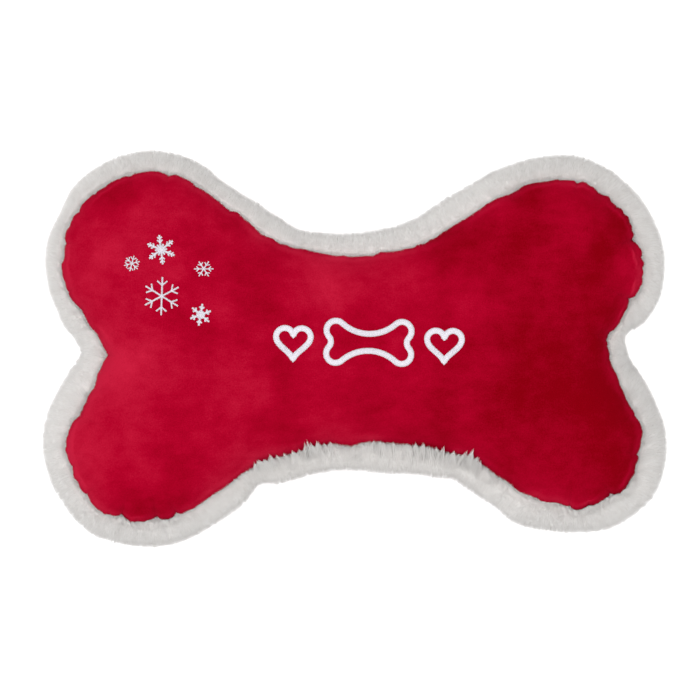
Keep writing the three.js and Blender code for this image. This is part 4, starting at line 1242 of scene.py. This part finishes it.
# Squeaker: a bellows of soft plastic, blow-moulded with its thick base. The top is a stiff plate
# that travels 7 mm when it is pressed and springs back. Its mould leaves every corner rounded.
squeaker_radius, squeaker_height, squeaker_wall = 22.0, 28.0, 1.2
end_plate, rim_width, rim_height = 2.2, 1.0, 1.5
press_gap, plug_fit = 0.3, 0.3
plug_radius, plug_flange_radius, plug_flange, plug_length = 6.0, 8.5, 1.0, 10.0
collar_share = 0.7
fold_depth, bellows_folds = 4.0, 3
plastic_corner, fold_corner = 0.35, 1.3
corner_steps, corner_most = 5, 0.45
turned_steps = 96
squeaker_floor, squeaker_top = -squeaker_height / 2, squeaker_height / 2
plate_under = squeaker_top - end_plate
base_top = squeaker_floor + end_plate
bellows_low, bellows_high = base_top + press_gap, plate_under - press_gap
bellows_crest = squeaker_radius - rim_width - press_gap
plug_hole, flange_hole = plug_radius + plug_fit, plug_flange_radius + plug_fit
flange_seat = squeaker_floor + plug_flange + plug_fit
collar_top = squeaker_floor + plug_length * collar_share
base_section = [
    (flange_hole, squeaker_floor), (squeaker_radius, squeaker_floor),
    (squeaker_radius, base_top + rim_height), (squeaker_radius - rim_width, base_top + rim_height),
    (squeaker_radius - rim_width, base_top), (plug_hole + squeaker_wall, base_top),
    (plug_hole + squeaker_wall, collar_top), (plug_hole, collar_top), (plug_hole, flange_seat),
    (flange_hole, flange_seat),
]
plate_section = [
    (0, plate_under), (squeaker_radius - rim_width, plate_under),
    (squeaker_radius - rim_width, plate_under - rim_height),
    (squeaker_radius, plate_under - rim_height), (squeaker_radius, squeaker_top),
    (0, squeaker_top),
]
bellows_outside = [
    (bellows_crest - fold_depth * (i % 2),
     bellows_low + (bellows_high - bellows_low) * i / (2 * bellows_folds))
    for i in range(2 * bellows_folds + 1)
]
bellows_section = bellows_outside + [(r - squeaker_wall, z) for r, z in reversed(bellows_outside)]


def eased(section, corner):
    """A closed section with each corner rounded, apart from those on the axis"""
    points = []
    section = [np.array(p, float) for p in section]
    for i, here in enumerate(section):
        before, after = section[i - 1], section[(i + 1) % len(section)]
        if here[0] < 1e-6:
            points.append(here)
            continue
        near, far = [
            here + (p - here) * min(corner / np.linalg.norm(p - here), corner_most)
            for p in (before, after)
        ]
        for t in np.linspace(0, 1, corner_steps):
            points.append(near * (1 - t) ** 2 + here * 2 * t * (1 - t) + far * t * t)
    return np.array(points)


def turned(name, section, node, body):
    """A piece turned about the squeaker's axis from its closed section"""
    angles = np.arange(turned_steps) * 2 * math.pi / turned_steps
    ring = np.stack([np.cos(angles), np.sin(angles)], axis=1)
    xy = ring[:, None] * section[None, :, :1]
    level = np.repeat(section[None, :, 1:], turned_steps, axis=0)
    points = np.concatenate([xy, level], axis=2).reshape(-1, 3)
    count = len(section)
    i, j = np.meshgrid(np.arange(turned_steps), np.arange(count), indexing="ij")
    after, beside = (i + 1) % turned_steps, (j + 1) % count
    faces = np.stack([i * count + j, after * count + j, after * count + beside,
                      i * count + beside], axis=2).reshape(-1, 4)
    piece = make_piece(name, placed(points), [faces])
    shape = bmesh.new()
    shape.from_mesh(piece.data)
    bmesh.ops.remove_doubles(shape, verts=shape.verts, dist=1e-6)
    on_axis = [f for f in shape.faces if f.calc_area() < 1e-14]
    bmesh.ops.delete(shape, geom=on_axis, context="FACES_ONLY")
    bmesh.ops.recalc_face_normals(shape, faces=shape.faces)
    shape.to_mesh(piece.data)
    shape.free()
    dress(piece, soft_plastic, node, body)
    return piece


milky_plastic = (0.90, 0.89, 0.85)
milky_shade = (0.84, 0.825, 0.775)
soft_plastic, tree, surface = new_material(
    "milky_soft_plastic", 0.42, Specular_IOR_Level=0.5, Coat_Weight=0.05, Coat_Roughness=0.4,
)
spot = add_node(tree, "ShaderNodeTexCoord").outputs["Object"]
cloudy = add_node(tree, "ShaderNodeTexNoise", Vector=spot, Scale=90.0, Detail=3.0).outputs["Fac"]
two_tone(tree, surface, cloudy, milky_shade, milky_plastic)
skin = add_node(tree, "ShaderNodeTexNoise", Vector=spot, Scale=1400.0, Detail=2.0).outputs["Fac"]
relief(tree, surface, skin, strength=0.25, distance=0.0001)
dull = stretched(tree, cloudy, new=(0.36, 0.5))
tree.links.new(dull, surface.inputs["Roughness"])

turned("squeaker_base_moulded", eased(base_section, plastic_corner), "squeaker_base", "toy")
turned("squeaker_press_plate_moulded", eased(plate_section, plastic_corner),
       "squeaker_press_plate", "press_plate")
bellows = turned("squeaker_bellows_moulded", eased(bellows_section, fold_corner),
                 "squeaker_bellows", None)
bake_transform(bellows)

# Reed: a strip of clear film, wedged between a bored plug and a half-round clamp, both of hard
# plastic. Air that is driven through the bore makes the film's free end buzz.
hard_white, hard_shade = (0.90, 0.90, 0.895), (0.83, 0.835, 0.84)
hard_plastic, tree, surface = new_material("hard_white_plastic", 0.24, Coat_Weight=0.1)
spot = add_node(tree, "ShaderNodeTexCoord").outputs["Object"]
flow = add_node(tree, "ShaderNodeTexNoise", Vector=spot, Scale=160.0, Detail=4.0,
                Distortion=0.6).outputs["Fac"]
two_tone(tree, surface, flow, hard_shade, hard_white)
relief(tree, surface, flow, strength=0.15, distance=0.00005)
film_clear, film_blue = (0.88, 0.92, 0.94), (0.72, 0.80, 0.85)
film_scales = (900.0, 900.0, 60.0)
reed_film, tree, surface = new_material("clear_reed_film", 0.12, Coat_Weight=0.3)
spot = add_node(tree, "ShaderNodeTexCoord").outputs["Object"]
drawn = add_node(tree, "ShaderNodeVectorMath", {"operation": "MULTIPLY"}, _0=spot,
                 _1=film_scales).outputs[0]
lines = add_node(tree, "ShaderNodeTexNoise", Vector=drawn, Scale=1.0, Detail=2.0).outputs["Fac"]
two_tone(tree, surface, lines, film_blue, film_clear)
relief(tree, surface, lines, strength=0.2, distance=0.00002)
finishes = {"squeaker_reed_plug": hard_plastic, "squeaker_reed_clamp": hard_plastic,
            "squeaker_reed": reed_film}
for node, finish in finishes.items():
    for material_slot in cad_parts[node].material_slots:
        material_slot.link = "OBJECT"
        material_slot.material = finish

# Stuffing: loose polyester fibre, teased and packed by hand, in four clumps round the squeaker.
# Each fills its own room a little short of the cloth, and its surface is matted into tufts.
fibre_white, fibre_shade = (0.95, 0.95, 0.94), (0.84, 0.84, 0.83)
fibre, tree, surface = new_material(
    "polyester_fibre", 0.95, Sheen_Weight=0.25, Sheen_Roughness=0.5, Specular_IOR_Level=0.15,
)
matted = napped(tree, patch=0.02, streak=0.0016, stretch=6.0, tuft=0.0009)
two_tone(tree, surface, matted["Streak"], fibre_shade, fibre_white)
relief(tree, surface, matted["Height"], strength=0.8, distance=0.001)
fibre_voxel, fibre_smoothing = 2.4, 8
tuft_lumps = [(13.0, 0.8), (5.0, 0.45)]
fibre_clearance, least_clearance, most_clearance = 1.3, 0.2, 4.0


def fibre_clump(node, seed):
    """A soft, matted clump of fibre inside the room that its solid holds"""
    piece = bpy.data.objects.new(f"{node}_fibre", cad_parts[node].data.copy())
    scene.collection.objects.link(piece)
    remesh = piece.modifiers.new("clump", "REMESH")
    remesh.mode = "VOXEL"
    remesh.voxel_size = fibre_voxel * mm
    smooth = piece.modifiers.new("soft", "SMOOTH")
    smooth.factor = 0.5
    smooth.iterations = fibre_smoothing
    seen = piece.evaluated_get(bpy.context.evaluated_depsgraph_get())
    mesh = bpy.data.meshes.new_from_object(seen)
    piece.modifiers.clear()
    piece.data = mesh
    mesh.materials.clear()
    at = np.zeros(len(mesh.vertices) * 3)
    away = at.copy()
    mesh.vertices.foreach_get("co", at)
    mesh.vertices.foreach_get("normal", away)
    at, away = at.reshape(-1, 3), away.reshape(-1, 3)
    inward = fibre_clearance
    for k, (size, depth) in enumerate(tuft_lumps):
        inward = inward + depth * soft_noise(at / mm, size, seed + k)
    at = at - away * np.clip(inward, least_clearance, most_clearance)[:, None] * mm
    mesh.vertices.foreach_set("co", at.ravel())
    mesh.polygons.foreach_set("use_smooth", np.ones(len(mesh.polygons), bool))
    mesh.update()
    dress(piece, fibre, node)


for number, place in enumerate(("left_end", "right_end", "middle_front", "middle_back")):
    fibre_clump(f"stuffing_{place}", 500 + 10 * number)

# Sizes of the solids and of the dressed toy
visual_low, visual_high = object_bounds()
sizes = {
    "cad": [list(cad_low), list(cad_high)],
    "visual": [list(visual_low), list(visual_high)],
}
